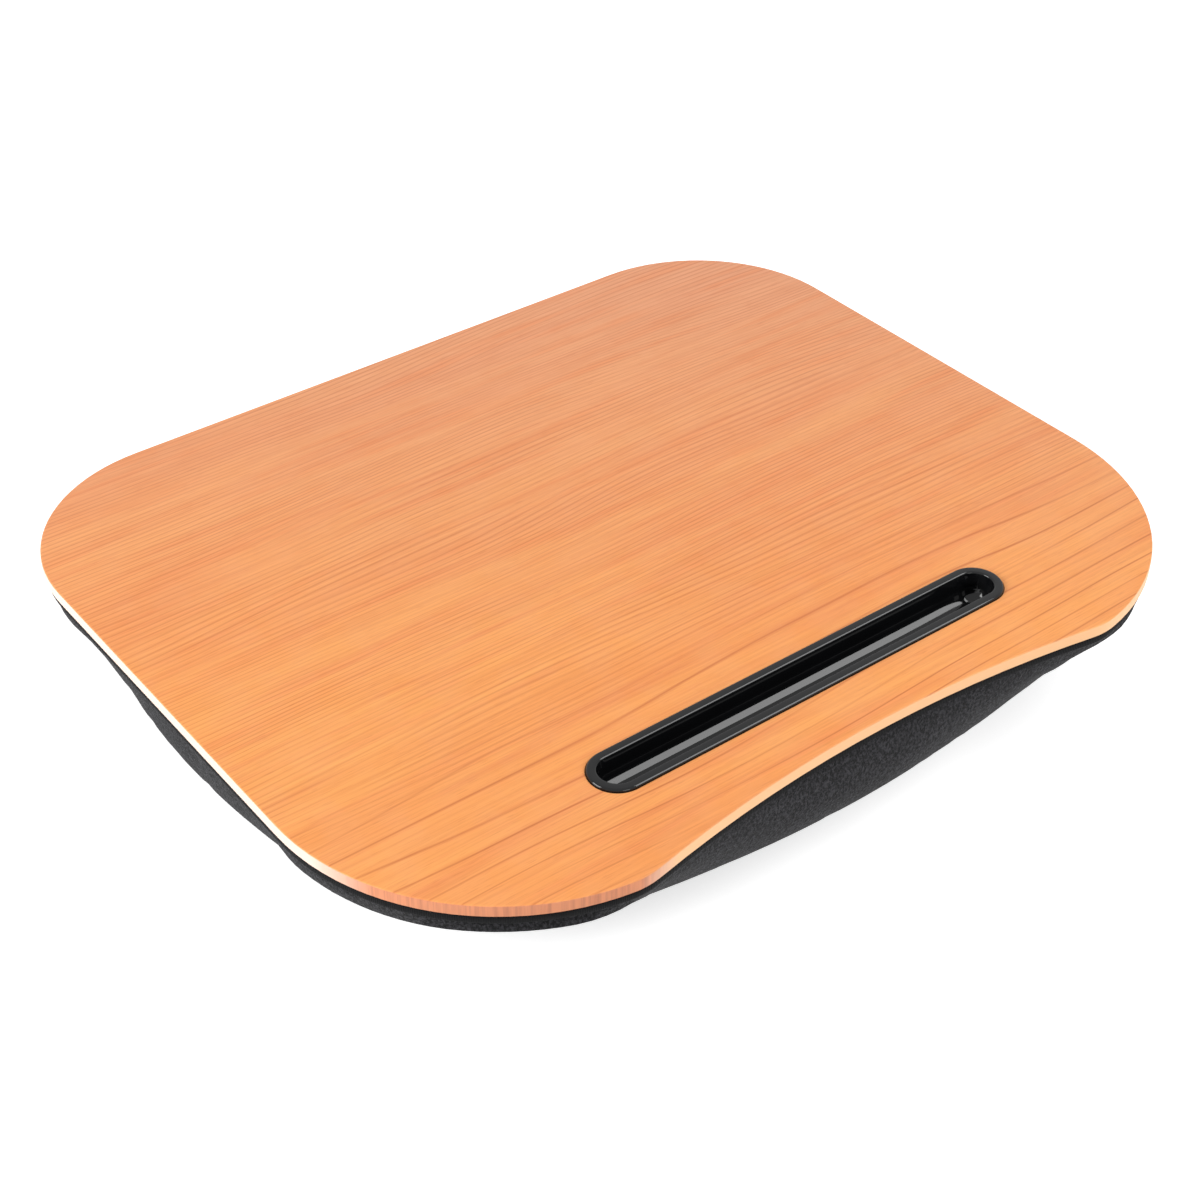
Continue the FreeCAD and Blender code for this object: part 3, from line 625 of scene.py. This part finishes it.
binding_low, binding_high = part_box("edge_binding")
binding_middle = (binding_low.z + binding_high.z) / 2
ring = outline(node_skin("edge_binding"), binding_middle, 2.6 * MM)
ring = [(point - out * BINDING_HALF_WIDTH_MM * MM, out) for point, out in ring]
section = rounded_section(BINDING_HALF_WIDTH_MM * MM, BINDING_HALF_HEIGHT_MM * MM)
binding = ring_sweep("binding_tape", ring, section)
tape = ribbed_tape("black_woven_binding_tape", TAPE_COLOUR, TAPE_SHADE, RIB_MM, 0.12)
finish_piece(binding, tape, "cushion", "woven_tape", "edge_binding")


# Binding stitches
# Lockstitches in black polyester thread, seen on the underside of the binding. Each dips back
# into the tape at both ends.
STITCH_MM = 3.4
STITCH_PITCH_MM = 4.4
STITCH_LINE = (
    # share of the length, share of the thickness, depth in the tape
    (0.0, 0.35, 0.9),
    (0.12, 0.8, 0.35),
    (0.35, 1.0, 0.0),
    (0.65, 1.0, 0.0),
    (0.88, 0.8, 0.35),
    (1.0, 0.35, 0.9),
)
STITCH_DIP = 1.6
THREAD_RADIUS_MM = 0.3
THREAD_COLOUR = "#1C1C1E"
THREAD_LIGHT = "#3A3A3D"


def stitch_row(name, ring, length, radius, sides=7):
    """One short thread at each point of a ring, thin and sunk at its ends."""
    points, faces = [], []
    for point, out in ring:
        along = Vector((-out.y, out.x, 0.0))
        start = len(points)
        for share, thick, sunk in STITCH_LINE:
            dip = Vector((0, 0, sunk * radius * STITCH_DIP))
            middle = point + along * (share - 0.5) * length + dip
            for side in range(sides):
                angle = math.tau * side / sides
                way = out * math.cos(angle) + Vector((0, 0, math.sin(angle)))
                points.append(middle + way * radius * thick)
        for level in range(len(STITCH_LINE) - 1):
            for side in range(sides):
                low, after = start + level * sides, (side + 1) % sides
                faces.append((low + side, low + sides + side, low + sides + after, low + after))
        faces.append(tuple(start + side for side in range(sides)))
        last = start + (len(STITCH_LINE) - 1) * sides
        faces.append(tuple(last + side for side in reversed(range(sides))))
    mesh = bpy.data.meshes.new(name)
    mesh.from_pydata([tuple(point) for point in points], [], faces)
    return show(name, mesh, 80)


def sewing_thread():
    """Polyester thread: satin black, with small lighter lumps where its plies cross."""
    material, tree, shader = start_material("black_polyester_sewing_thread")
    ply = mottle(tree, (0.5, 0.5, 0.5), 1.0)
    colour = blend_colours(tree, ply, THREAD_COLOUR, THREAD_LIGHT)
    fill(tree, shader, {"Base Color": colour, "Roughness": 0.5})
    emboss(tree, shader, ply, 0.08)
    return material


thread_low, thread_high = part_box("binding_thread")
radius = THREAD_RADIUS_MM * MM
thread_middle = (thread_low.z + thread_high.z) / 2
ring = outline(node_skin("binding_thread"), thread_middle, STITCH_PITCH_MM * MM)
ring = [(point - out * radius, out) for point, out in ring]
ring = [(Vector((point.x, point.y, thread_low.z + radius)), out) for point, out in ring]
stitches = stitch_row("binding_stitches", ring, STITCH_MM * MM, radius)
finish_piece(stitches, sewing_thread(), "cushion", "sewing_thread", "binding_thread")


# Loop pads
# The soft half of the hook-and-loop pads, sewn on the top panel: a nylon knit with a brushed
# pile of loops, higher and lower at random.
LOOP_STEP_MM = 0.9
TUFT_MM = 1.1
LOOP_EDGE = 0.35
LOOP_LEAST = 0.6
LOOP_COLOUR = "#1B1B1C"
LOOP_TIPS = "#39393B"


def solid_boxes(node):
    """The lowest and highest corner of each separate solid in a CAD node."""
    shape = bmesh.new()
    shape.from_mesh(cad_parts[node].data)
    bmesh.ops.remove_doubles(shape, verts=shape.verts, dist=0.001 * MM)
    left, boxes = set(shape.verts), []
    while left:
        island, edge = set(), {left.pop()}
        while edge:
            island |= edge
            edge = {e.other_vert(v) for v in edge for e in v.link_edges} - island
        left -= island
        corners = [[pick(v.co[axis] for v in island) for axis in range(3)] for pick in (min, max)]
        boxes.append((Vector(corners[0]), Vector(corners[1])))
    shape.free()
    return sorted(boxes, key=lambda box: (round(box[0].x, 4), round(box[0].y, 4)))


def nylon_loops():
    """Brushed nylon loops: black with a grey bloom on the tips."""
    material, tree, shader = start_material("black_nylon_loop_pile")
    pile = mottle(tree, (0.9, 0.9, 0.9), 3.0, 0.7)
    bloom = blend_colours(tree, between(tree, pile, 0.4, 0.7), LOOP_COLOUR, LOOP_TIPS)
    fill(tree, shader, {"Base Color": bloom, "Roughness": 0.8, "Sheen Weight": 0.4})
    emboss(tree, shader, pile, 0.5)
    return material


points, faces = [], []
for low, high in solid_boxes("loop_pads"):
    columns = round((high.x - low.x) / (LOOP_STEP_MM * MM))
    rows = round((high.y - low.y) / (LOOP_STEP_MM * MM))
    first = len(points)
    for row in range(rows + 1):
        for column in range(columns + 1):
            x = low.x + (high.x - low.x) * column / columns
            y = low.y + (high.y - low.y) * row / rows
            at_edge = row in (0, rows) or column in (0, columns)
            tuft = 0.5 + 0.5 * noise.noise(Vector((x, y, 0.0)) / (TUFT_MM * MM))
            share = LOOP_EDGE if at_edge else LOOP_LEAST + (1.0 - LOOP_LEAST) * tuft
            points.append((x, y, low.z + (high.z - low.z) * share))
    for row in range(rows):
        for column in range(columns):
            corner = first + row * (columns + 1) + column
            faces.append((corner, corner + 1, corner + columns + 2, corner + columns + 1))
    rim = [first + column for column in range(columns + 1)]
    rim += [first + row * (columns + 1) + columns for row in range(1, rows + 1)]
    rim += [first + rows * (columns + 1) + column for column in range(columns - 1, -1, -1)]
    rim += [first + row * (columns + 1) for row in range(rows - 1, 0, -1)]
    base = len(points)
    points += [(points[number][0], points[number][1], low.z) for number in rim]
    for number in range(len(rim)):
        after = (number + 1) % len(rim)
        faces.append((rim[number], base + number, base + after, rim[after]))
    faces.append(tuple(base + number for number in reversed(range(len(rim)))))
mesh = bpy.data.meshes.new("loop_pile")
mesh.from_pydata(points, [], faces)
loops_piece = show("loop_pile", mesh, 180)
finish_piece(loops_piece, nylon_loops(), "cushion", "hook_and_loop", "loop_pads")


# Zip
# A coarse nylon zip in the straight rear wall lets the bag out. Two woven tapes carry moulded
# teeth, which show through a slit in the fleece, with a stop at each end.
NYLON_COLOUR = "#1D1D1F"
NYLON_LIGHT = "#29292C"
FLAT_ANGLE = math.radians(0.2)


def softened(name, node, width_mm, segments=3, smooth_degrees=40):
    """A copy of a CAD node with its sharp edges rounded over."""
    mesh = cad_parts[node].data.copy()
    shape = bmesh.new()
    shape.from_mesh(mesh)
    bmesh.ops.remove_doubles(shape, verts=shape.verts, dist=0.001 * MM)
    bmesh.ops.dissolve_limit(shape, angle_limit=FLAT_ANGLE, verts=shape.verts, edges=shape.edges)
    shape.to_mesh(mesh)
    shape.free()
    piece = show(name, mesh)
    bevel = piece.modifiers.new("rounded", "BEVEL")
    bevel.width = width_mm * MM
    bevel.segments = segments
    bevel.angle_limit = math.radians(35)
    bake_modifiers(piece)
    piece.data.shade_smooth()
    piece.data.set_sharp_from_angle(angle=math.radians(smooth_degrees))
    return piece


def moulded_nylon():
    """Injection-moulded nylon: black, semi-gloss, faintly uneven."""
    material, tree, shader = start_material("black_moulded_nylon")
    uneven = mottle(tree, (1.5, 1.5, 1.5))
    colour = blend_colours(tree, uneven, NYLON_COLOUR, NYLON_LIGHT)
    fill(tree, shader, {"Base Color": colour})
    fill(tree, shader, {"Roughness": between(tree, uneven, 0.3, 0.7, 0.32, 0.45)})
    emboss(tree, shader, uneven, 0.03)
    return material


zip_tapes = softened("zip_tape_pair", "zip_tapes", 0.12)
zip_cloth = twill("black_woven_zip_tape", TAPE_COLOUR, TAPE_SHADE, 0.8, 0.12)
finish_piece(zip_tapes, zip_cloth, "cushion", "woven_tape", "zip_tapes")
nylon = moulded_nylon()
teeth = softened("moulded_zip_teeth", "zip_teeth", 0.18, 2)
finish_piece(teeth, nylon, "cushion", "nylon_teeth", "zip_teeth")
stops = softened("moulded_zip_stops", "zip_stops", 0.25, 3)
finish_piece(stops, nylon, "cushion", "nylon_teeth", "zip_stops")


# Zip slider and pull
# Both are die-cast zinc with baked black enamel. The slider wraps both rows of teeth, and the
# pull hinges on the slider's bail.
ENAMEL_COLOUR = "#18181A"
ZINC_COLOUR = "#8C8C8C"


def enamelled_zinc():
    """Die-cast zinc with black enamel, worn to bare metal in specks along its edges."""
    material, tree, shader = start_material("black_enamelled_zinc")
    bend = add_node(tree, "ShaderNodeNewGeometry", {}).outputs["Pointiness"]
    rubbed = between(tree, bend, 0.54, 0.62)
    specks = between(tree, mottle(tree, (0.8, 0.8, 0.8), 4.0), 0.5, 0.65)
    worn = calculate(tree, "MULTIPLY", rubbed, specks)
    colour = blend_colours(tree, worn, ENAMEL_COLOUR, ZINC_COLOUR)
    fill(tree, shader, {"Base Color": colour, "Metallic": worn, "Roughness": 0.3})
    emboss(tree, shader, mottle(tree, (1.2, 1.2, 1.2)), 0.02)
    return material


enamel = enamelled_zinc()
slider = softened("zinc_zip_slider", "zip_slider", 0.3, 4)
finish_piece(slider, enamel, "zip_slider", "painted_zinc", "zip_slider")
pull = softened("zinc_zip_pull", "zip_pull", 0.25, 4)
finish_piece(pull, enamel, "zip_pull", "painted_zinc", "zip_pull")


# Board core
# A 5 mm sheet of medium-density fibreboard, sawn and routed to the outline. It shows only in
# the slot when the tray is out.
FIBREBOARD_COLOUR = "#9A7550"
FIBREBOARD_SHADE = "#7D5C3D"


def coat(node, material):
    """Give a CAD node that stays in view its material."""
    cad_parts[node].material_slots[0].material = material


def fibreboard():
    """Pressed wood fibres: matt brown with fine light and dark flecks."""
    material, tree, shader = start_material("medium_density_fibreboard")
    flecks = between(tree, mottle(tree, (1.2, 1.2, 0.6), 4.0, 0.7), 0.3, 0.7)
    colour = blend_colours(tree, flecks, FIBREBOARD_SHADE, FIBREBOARD_COLOUR)
    fill(tree, shader, {"Base Color": colour, "Roughness": 0.9})
    emboss(tree, shader, flecks, 0.1)
    return material


coat("board_core", fibreboard())


# Top foil
# A cherry-print foil over the board's top, wrapped round its rounded edge. The print's grain
# runs along the board, fine behind the tray and in wide, wavy lines in front of it.
FOIL_ROUND_MM = 0.8
FOIL_ROUND_STEPS = 6
FOIL_MM = 0.3
REBATE_RADIUS = 13.2 * MM
FOIL_LIGHT = "#FDAE64"
FOIL_DEEP = "#F59C5A"
# The pinker tone toward the back is a painted sheen.
FOIL_PAINTED_SHEEN_PINK = "#E7A483"
FOIL_PALE = "#F2B48A"
FOIL_RED = "#EE9058"
FOIL_LINE = "#C2683C"
# Edge colours: paler for painted light on the edge, near white for painted light on the left edge, and
# a darker pink for painted shade at the front left corner, which also has real marks.
FOIL_EDGE_PAINTED_LIGHT = "#FFC793"
FOIL_LEFT_EDGE_PAINTED_LIGHT = "#F6DCCB"
FOIL_CORNER_PAINTED_SHADE = "#E2946C"
FOIL_CORNER_MARK = "#A3624C"
LINES = (
    # spacing in mm, waviness in lines, line's share of the spacing, strength, from y, to y in mm
    (10.5, 5.06, 0.07, 0.9, -78.0, -112.0),
    (2.7, 18.7, 0.24, 0.5, -112.0, -78.0),
)
FLOW_MM = (380.0, 90.0)


def growth_lines(tree, spacing, waviness, width, strength, start_y, end_y, seed):
    """Printed growth rings: lines that follow the grain, close up, part and turn back."""
    at = object_place(tree)
    shift = {"Vector": at, "Location": (seed, seed, 0.0)}
    moved = add_node(tree, "ShaderNodeMapping", shift).outputs[0]
    stretch = {"Vector": moved, "Scale": (1000 / FLOW_MM[0], 1000 / FLOW_MM[1], 0.0)}
    spread = add_node(tree, "ShaderNodeMapping", stretch).outputs[0]
    settings = {"Vector": spread, "Scale": 1.0, "Detail": 1.6, "Roughness": 0.4}
    flow = add_node(tree, "ShaderNodeTexNoise", settings).outputs[0]
    waves = calculate(tree, "MULTIPLY", flow, waviness)
    y = add_node(tree, "ShaderNodeSeparateXYZ", {0: at}).outputs["Y"]
    field = calculate(tree, "MULTIPLY_ADD", y, 1000 / spacing, waves)
    ring = calculate(tree, "FRACT", field)
    sharp = between(tree, ring, 0.0, width, 1.0, 0.0)
    soft = between(tree, ring, 1.0 - width, 1.0, 0.0, 0.8)
    line = calculate(tree, "MAXIMUM", sharp, soft)
    here = between(tree, y, start_y * MM, end_y * MM, 0.0, strength)
    fade = between(tree, mottle(tree, (120, 16, 100), 1.0), 0.25, 0.62, 0.15, 1.0)
    return calculate(tree, "MULTIPLY", calculate(tree, "MULTIPLY", line, here), fade)


def cherry_print_foil():
    """Printed wood-effect foil with a satin lacquer. Streaks 1 to 8 mm wide run along the board,
    and pores are short dark dashes. The print is paler on the edge as painted light, near white
    on the left edge as painted light, and pinker toward the back as a painted sheen. Where the
    foil is pulled round the front left corner, it has real marks across the edge, and the
    corner is darker with painted shade."""
    material, tree, shader = start_material("cherry_print_foil")
    broad = between(tree, mottle(tree, (260, 26, 200), 2.0), 0.35, 0.65)
    fibre = between(tree, mottle(tree, (55, 1.0, 50), 3.0, 0.65), 0.36, 0.62)
    red = between(tree, mottle(tree, (110, 7.0, 90), 2.0, 0.6), 0.5, 0.72)
    pores = between(tree, mottle(tree, (9, 0.55, 8), 1.0), 0.62, 0.72)
    ripple = between(tree, mottle(tree, (16, 22, 20), 2.0), 0.35, 0.65)
    x, y = add_node(tree, "ShaderNodeSeparateXYZ", {0: object_place(tree)}).outputs[0:2]
    # Toward the back the colour turns pinker: a painted sheen.
    sheen_reach = calculate(tree, "MULTIPLY_ADD", x, 0.5, y)
    colour = blend_colours(tree, between(tree, broad, 0.0, 1.0, 0.1, 0.75), FOIL_LIGHT, FOIL_DEEP)
    colour = blend_colours(tree, between(tree, sheen_reach, -0.10, 0.25, 0.0, 0.7), colour, FOIL_PAINTED_SHEEN_PINK)
    colour = blend_colours(tree, between(tree, red, 0.0, 1.0, 0.0, 0.55), colour, FOIL_RED)
    colour = blend_colours(tree, between(tree, fibre, 0.0, 1.0, 0.24, 0.0), colour, FOIL_LINE)
    colour = blend_colours(tree, between(tree, pores, 0.0, 1.0, 0.0, 0.22), colour, FOIL_LINE)
    colour = blend_colours(tree, between(tree, ripple, 0.0, 1.0, 0.0, 0.1), colour, FOIL_PALE)
    for number, line in enumerate(LINES):
        share = growth_lines(tree, *line, seed=0.37 * number + 0.11)
        colour = blend_colours(tree, share, colour, FOIL_LINE)
    # The edge's colour: painted light on the front and left edges, and at the front left corner
    # painted shade over real marks.
    marks = between(tree, mottle(tree, (1.6, 1.6, 40), 3.0, 0.6), 0.42, 0.7, 0.0, 0.45)
    near = between(tree, y, -0.10, -0.13)
    left = between(tree, x, -0.11, -0.13)
    corner = calculate(tree, "MULTIPLY", near, left)
    stretched_and_shaded = blend_colours(tree, marks, FOIL_CORNER_PAINTED_SHADE, FOIL_CORNER_MARK)
    edge = blend_colours(tree, left, FOIL_EDGE_PAINTED_LIGHT, FOIL_LEFT_EDGE_PAINTED_LIGHT)
    edge = blend_colours(tree, corner, edge, stretched_and_shaded)
    # The painted edge colour goes where the surface turns down from the top.
    facing = add_node(tree, "ShaderNodeNewGeometry", {}).outputs["Normal"]
    upward = add_node(tree, "ShaderNodeSeparateXYZ", {0: facing}).outputs["Z"]
    at_edge = between(tree, upward, 0.35, 0.8, 1.0, 0.0)
    colour = blend_colours(tree, at_edge, colour, edge)
    gloss = between(tree, fibre, 0.0, 1.0, 0.42, 0.36)
    fill(tree, shader, {"Base Color": colour, "Roughness": gloss, "Specular IOR Level": 0.25})
    emboss(tree, shader, fibre, 0.02)
    return material


def ring_edges(shape, points):
    """Add a closed loop of points to a mesh in the making."""
    vertices = [shape.verts.new(point) for point in points]
    edges = [shape.edges.new((vertices[n - 1], vertices[n])) for n in range(len(vertices))]
    return vertices, edges


def join_rings(shape, first, second):
    """Quads between two loops of equal length."""
    for number in range(len(first)):
        shape.faces.new((first[number - 1], first[number], second[number], second[number - 1]))


foil_low, foil_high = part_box("top_foil")
ring = outline(node_skin("top_foil"), foil_low.z + 2 * MM, 1.6 * MM)
under_z = foil_high.z - FOIL_MM * MM
profile = [(0.0, foil_low.z), (0.0, foil_high.z - FOIL_ROUND_MM * MM)]
for step in range(1, FOIL_ROUND_STEPS + 1):
    angle = math.pi / 2 * step / FOIL_ROUND_STEPS
    out = (math.cos(angle) - 1.0) * FOIL_ROUND_MM * MM
    profile.append((out, foil_high.z - (1.0 - math.sin(angle)) * FOIL_ROUND_MM * MM))
top_loop, under_loop = len(profile) - 1, len(profile)
profile += [(-FOIL_MM * MM, under_z), (-FOIL_MM * MM, foil_low.z)]
shape = bmesh.new()
loops = []
for out_by, z in profile:
    loops.append(ring_edges(shape, [(p.x + o.x * out_by, p.y + o.y * out_by, z) for p, o in ring]))
for low in range(len(loops)):
    if low != top_loop:
        join_rings(shape, loops[low][0], loops[(low + 1) % len(loops)][0])
hole = obround(REBATE_RADIUS, TROUGH_REACH, TRAY_Y, 36, 40)
hole_loops = [ring_edges(shape, [(x, y, z) for x, y in hole]) for z in (foil_high.z, under_z)]
join_rings(shape, hole_loops[0][0], hole_loops[1][0])
bmesh.ops.triangle_fill(shape, edges=loops[top_loop][1] + hole_loops[0][1], use_beauty=True)
bmesh.ops.triangle_fill(shape, edges=loops[under_loop][1] + hole_loops[1][1], use_beauty=True)
bmesh.ops.recalc_face_normals(shape, faces=shape.faces)
mesh = bpy.data.meshes.new("wood_foil")
shape.to_mesh(mesh)
shape.free()
foil = show("wood_foil", mesh, 35)
finish_piece(foil, cherry_print_foil(), "board", "wood_effect_foil", "top_foil")


# Backing
# A balancing sheet of kraft paper glued to the underside, so that the board stays flat.
PAPER_COLOUR = "#A98660"
PAPER_SHADE = "#93714D"


def kraft_paper():
    """Unbleached kraft paper: matt brown, long fibres, faint clouding."""
    material, tree, shader = start_material("kraft_backing_paper")
    cloudy = mottle(tree, (40, 40, 40))
    fibres = between(tree, mottle(tree, (6, 0.7, 6), 3.0), 0.35, 0.65, 0.0, 0.5)
    colour = blend_colours(tree, cloudy, PAPER_COLOUR, PAPER_SHADE)
    colour = blend_colours(tree, fibres, colour, PAPER_SHADE)
    fill(tree, shader, {"Base Color": colour, "Roughness": 0.85})
    emboss(tree, shader, fibres, 0.05)
    return material


coat("backing_foil", kraft_paper())


# Hook pads
# The stiff half of the hook-and-loop pads, glued under the board: a nylon strip with rows of
# small moulded hooks. They are drawn at twice the real spacing so that they show.
HOOK_PITCH_MM = 1.9
HOOK_BASE_MM = 0.4
HOOK_SINK_MM = 0.02
HOOK_RADIUS_MM = 0.16
HOOK_REACH_MM = 0.45
HOOK_LINE = (
    # share of the reach, share of the height, share of the radius
    (0.0, 0.0, 1.3),
    (0.0, 0.45, 1.0),
    (0.25, 0.85, 0.9),
    (0.7, 1.0, 0.8),
    (1.05, 0.75, 0.5),
)


def add_hook(points, faces, foot, height, lean):
    """One bent hook that hangs from its foot."""
    first = len(points)
    for across, down, thick in HOOK_LINE:
        middle = foot + Vector((lean * across * HOOK_REACH_MM * MM, 0.0, -down * height))
        for side in range(4):
            angle = math.tau * (side + 0.5) / 4
            wide = HOOK_RADIUS_MM * MM * thick
            points.append(middle + Vector((math.cos(angle) * wide, math.sin(angle) * wide, 0.0)))
    for level in range(len(HOOK_LINE) - 1):
        for side in range(4):
            low, after = first + level * 4, (side + 1) % 4
            faces.append((low + side, low + after, low + 4 + after, low + 4 + side))
    last = first + (len(HOOK_LINE) - 1) * 4
    faces.append((last, last + 1, last + 2, last + 3))
    faces.append((first + 3, first + 2, first + 1, first))


points, faces = [], []
for low, high in solid_boxes("hook_pads"):
    corners = [(low.x, low.y), (high.x, low.y), (high.x, high.y), (low.x, high.y)]
    first = len(points)
    for z in (high.z - HOOK_BASE_MM * MM, high.z):
        points += [Vector((x, y, z)) for x, y in corners]
    faces += [(first + 3, first + 2, first + 1, first), (first + 4, first + 5, first + 6, first + 7)]
    for side in range(4):
        after = (side + 1) % 4
        faces.append((first + side, first + after, first + 4 + after, first + 4 + side))
    columns = int((high.x - low.x) / (HOOK_PITCH_MM * MM))
    rows = int((high.y - low.y) / (HOOK_PITCH_MM * MM))
    for row in range(rows):
        for column in range(columns):
            x = low.x + (high.x - low.x) * (column + 0.5) / columns
            y = low.y + (high.y - low.y) * (row + 0.5) / rows
            foot = Vector((x, y, high.z - (HOOK_BASE_MM - HOOK_SINK_MM) * MM))
            add_hook(points, faces, foot, high.z - low.z - HOOK_BASE_MM * MM, 1 if row % 2 else -1)
mesh = bpy.data.meshes.new("nylon_hooks")
mesh.from_pydata([tuple(point) for point in points], [], faces)
hooks = show("nylon_hooks", mesh, 50)
finish_piece(hooks, nylon, "board", "hook_and_loop", "hook_pads")


# Pen tray
# One moulding in glossy black polystyrene. Its rim hangs on the board's top and its trough goes
# down through the slot, with a floor that curves up into the walls.
RIM_RADIUS_MM = 12.8
RIM_ROUND_MM = 1.1
LIP_RADIUS_MM = 8.4
LIP_ROUND_MM = 0.9
WALL_MM = 1.2
FLOOR_ROUND_MM = 6.5
CORNER_ROUND_MM = 3.0
TROUGH_DEPTH_MM = 12.5
RIM_GAP_MM = 0.02
STYRENE_COLOUR = "#0A0A0B"
STYRENE_LIGHT = "#101113"


def quarter(centre_radius, centre_z, round_mm, start, end, steps=7):
    """Points of a quarter turn in the tray's section, as radius and height in millimetres."""
    turns = [math.radians(start + (end - start) * step / steps) for step in range(steps + 1)]
    return [(centre_radius + round_mm * math.cos(a), centre_z + round_mm * math.sin(a)) for a in turns]


def glossy_polystyrene():
    """Injection-moulded polystyrene: deep black with a mirror gloss, very slightly wavy."""
    material, tree, shader = start_material("glossy_black_polystyrene")
    haze = mottle(tree, (30, 12, 12), 3.0)
    colour = blend_colours(tree, haze, STYRENE_COLOUR, STYRENE_LIGHT)
    gloss = between(tree, haze, 0.3, 0.7, 0.04, 0.08)
    fill(tree, shader, {"Base Color": colour, "Roughness": gloss, "Specular IOR Level": 0.34})
    emboss(tree, shader, mottle(tree, (9, 9, 9), 1.0), 0.02)
    return material


deck_mm = foil_high.z / MM
top_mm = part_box("pen_tray")[1].z / MM
floor_mm = deck_mm - TROUGH_DEPTH_MM
outer_mm = LIP_RADIUS_MM + WALL_MM
corner_mm = floor_mm - WALL_MM + CORNER_ROUND_MM
profile = quarter(outer_mm - CORNER_ROUND_MM, corner_mm, CORNER_ROUND_MM, -90, 0)
profile += [(outer_mm, deck_mm - FOIL_MM - RIM_GAP_MM), (RIM_RADIUS_MM, deck_mm - FOIL_MM)]
profile += quarter(RIM_RADIUS_MM - RIM_ROUND_MM, top_mm - RIM_ROUND_MM, RIM_ROUND_MM, 0, 90)
profile += quarter(LIP_RADIUS_MM + LIP_ROUND_MM, top_mm - LIP_ROUND_MM, LIP_ROUND_MM, 90, 180)
turn_mm, turn_height_mm = LIP_RADIUS_MM - FLOOR_ROUND_MM, floor_mm + FLOOR_ROUND_MM
profile += quarter(turn_mm, turn_height_mm, FLOOR_ROUND_MM, 0, -90, 12)
shape = bmesh.new()
loops = []
for radius_mm, z in profile:
    around = obround(radius_mm * MM, TROUGH_REACH, TRAY_Y, 32, 24)
    loops.append(ring_edges(shape, [(x, y, z * MM) for x, y in around]))
for low, high in zip(loops, loops[1:]):
    join_rings(shape, low[0], high[0])
shape.faces.new(loops[-1][0])
shape.faces.new(loops[0][0])
bmesh.ops.recalc_face_normals(shape, faces=shape.faces)
mesh = bpy.data.meshes.new("moulded_pen_tray")
shape.to_mesh(mesh)
shape.free()
tray = show("moulded_pen_tray", mesh, 40)
finish_piece(tray, glossy_polystyrene(), "pen_tray", "black_styrene", "pen_tray")


# Floor and light
# A white photographer's sweep with three soft boxes: a large one to the left, a tall strip to the
# right in front that the glossy tray mirrors as a stripe, and a weak one in front of the edge.
FLOOR_COLOUR = "#F4F4F4"
FLOOR_LIFT = 0.58
WHITE = "#FFFFFF"
SOFT_BOXES = (
    # name, place in metres, way of the long side, both sides in metres, power in watts
    ("left_box", (-2.68, 0.86, 1.19), (0.0, 0.0, 1.0), (1.6, 1.6), 90.0),
    ("strip_box", (1.27, -1.24, 1.78), (0.0, 0.82, 0.57), (0.8, 2.1), 36.0),
    ("front_box", (-0.4, -2.35, 0.9), (0.0, 0.0, 1.0), (0.9, 0.9), 10.0),
)
WORLD_LIGHT = 0.27


def share_seen(tree, *kinds):
    """A link that is 1 where the camera sees a surface, directly or by the kinds of ray."""
    rays = add_node(tree, "ShaderNodeLightPath", {})
    seen = rays.outputs["Is Camera Ray"]
    for kind in kinds:
        seen = calculate(tree, "ADD", seen, rays.outputs[kind])
    return seen


mesh = bpy.data.meshes.new("sweep")
mesh.from_pydata([(-6, -6, 0), (6, -6, 0), (6, 6, 0), (-6, 6, 0)], [], [(0, 1, 2, 3)])
floor = bpy.data.objects.new("sweep", mesh)
bpy.context.scene.collection.objects.link(floor)
material, tree, shader = start_material("white_paper_sweep")
matt = {"Base Color": linear(FLOOR_COLOUR), "Roughness": 1.0, "Specular IOR Level": 0.0}
lift = between(tree, share_seen(tree, "Is Glossy Ray"), 0.0, 1.0, 0.0, FLOOR_LIFT)
fill(tree, shader, {**matt, "Emission Strength": lift, "Emission Color": linear(WHITE)})
mesh.materials.append(material)

for name, place, long_side, size, power in SOFT_BOXES:
    light = bpy.data.lights.new(name, "AREA")
    light.shape = "RECTANGLE"
    light.size, light.size_y = size
    light.energy = power
    box = bpy.data.objects.new(name, light)
    box.location = place
    back = (Vector(place) - CAMERA_TARGET).normalized()
    along = Vector(long_side)
    along = (along - back * along.dot(back)).normalized()
    box.rotation_euler = Matrix((along.cross(back), along, back)).transposed().to_euler()
    box.visible_camera = False
    bpy.context.scene.collection.objects.link(box)

world = bpy.data.worlds.new("studio")
world.use_nodes = True
bpy.context.scene.world = world
tree = world.node_tree
seen = share_seen(tree, "Is Glossy Ray", "Is Transmission Ray")
strength = between(tree, seen, 0.0, 1.0, WORLD_LIGHT, 1.0)
fill(tree, tree.nodes["Background"], {"Strength": strength, "Color": linear(WHITE)})
bpy.context.scene.view_settings.view_transform = "Standard"
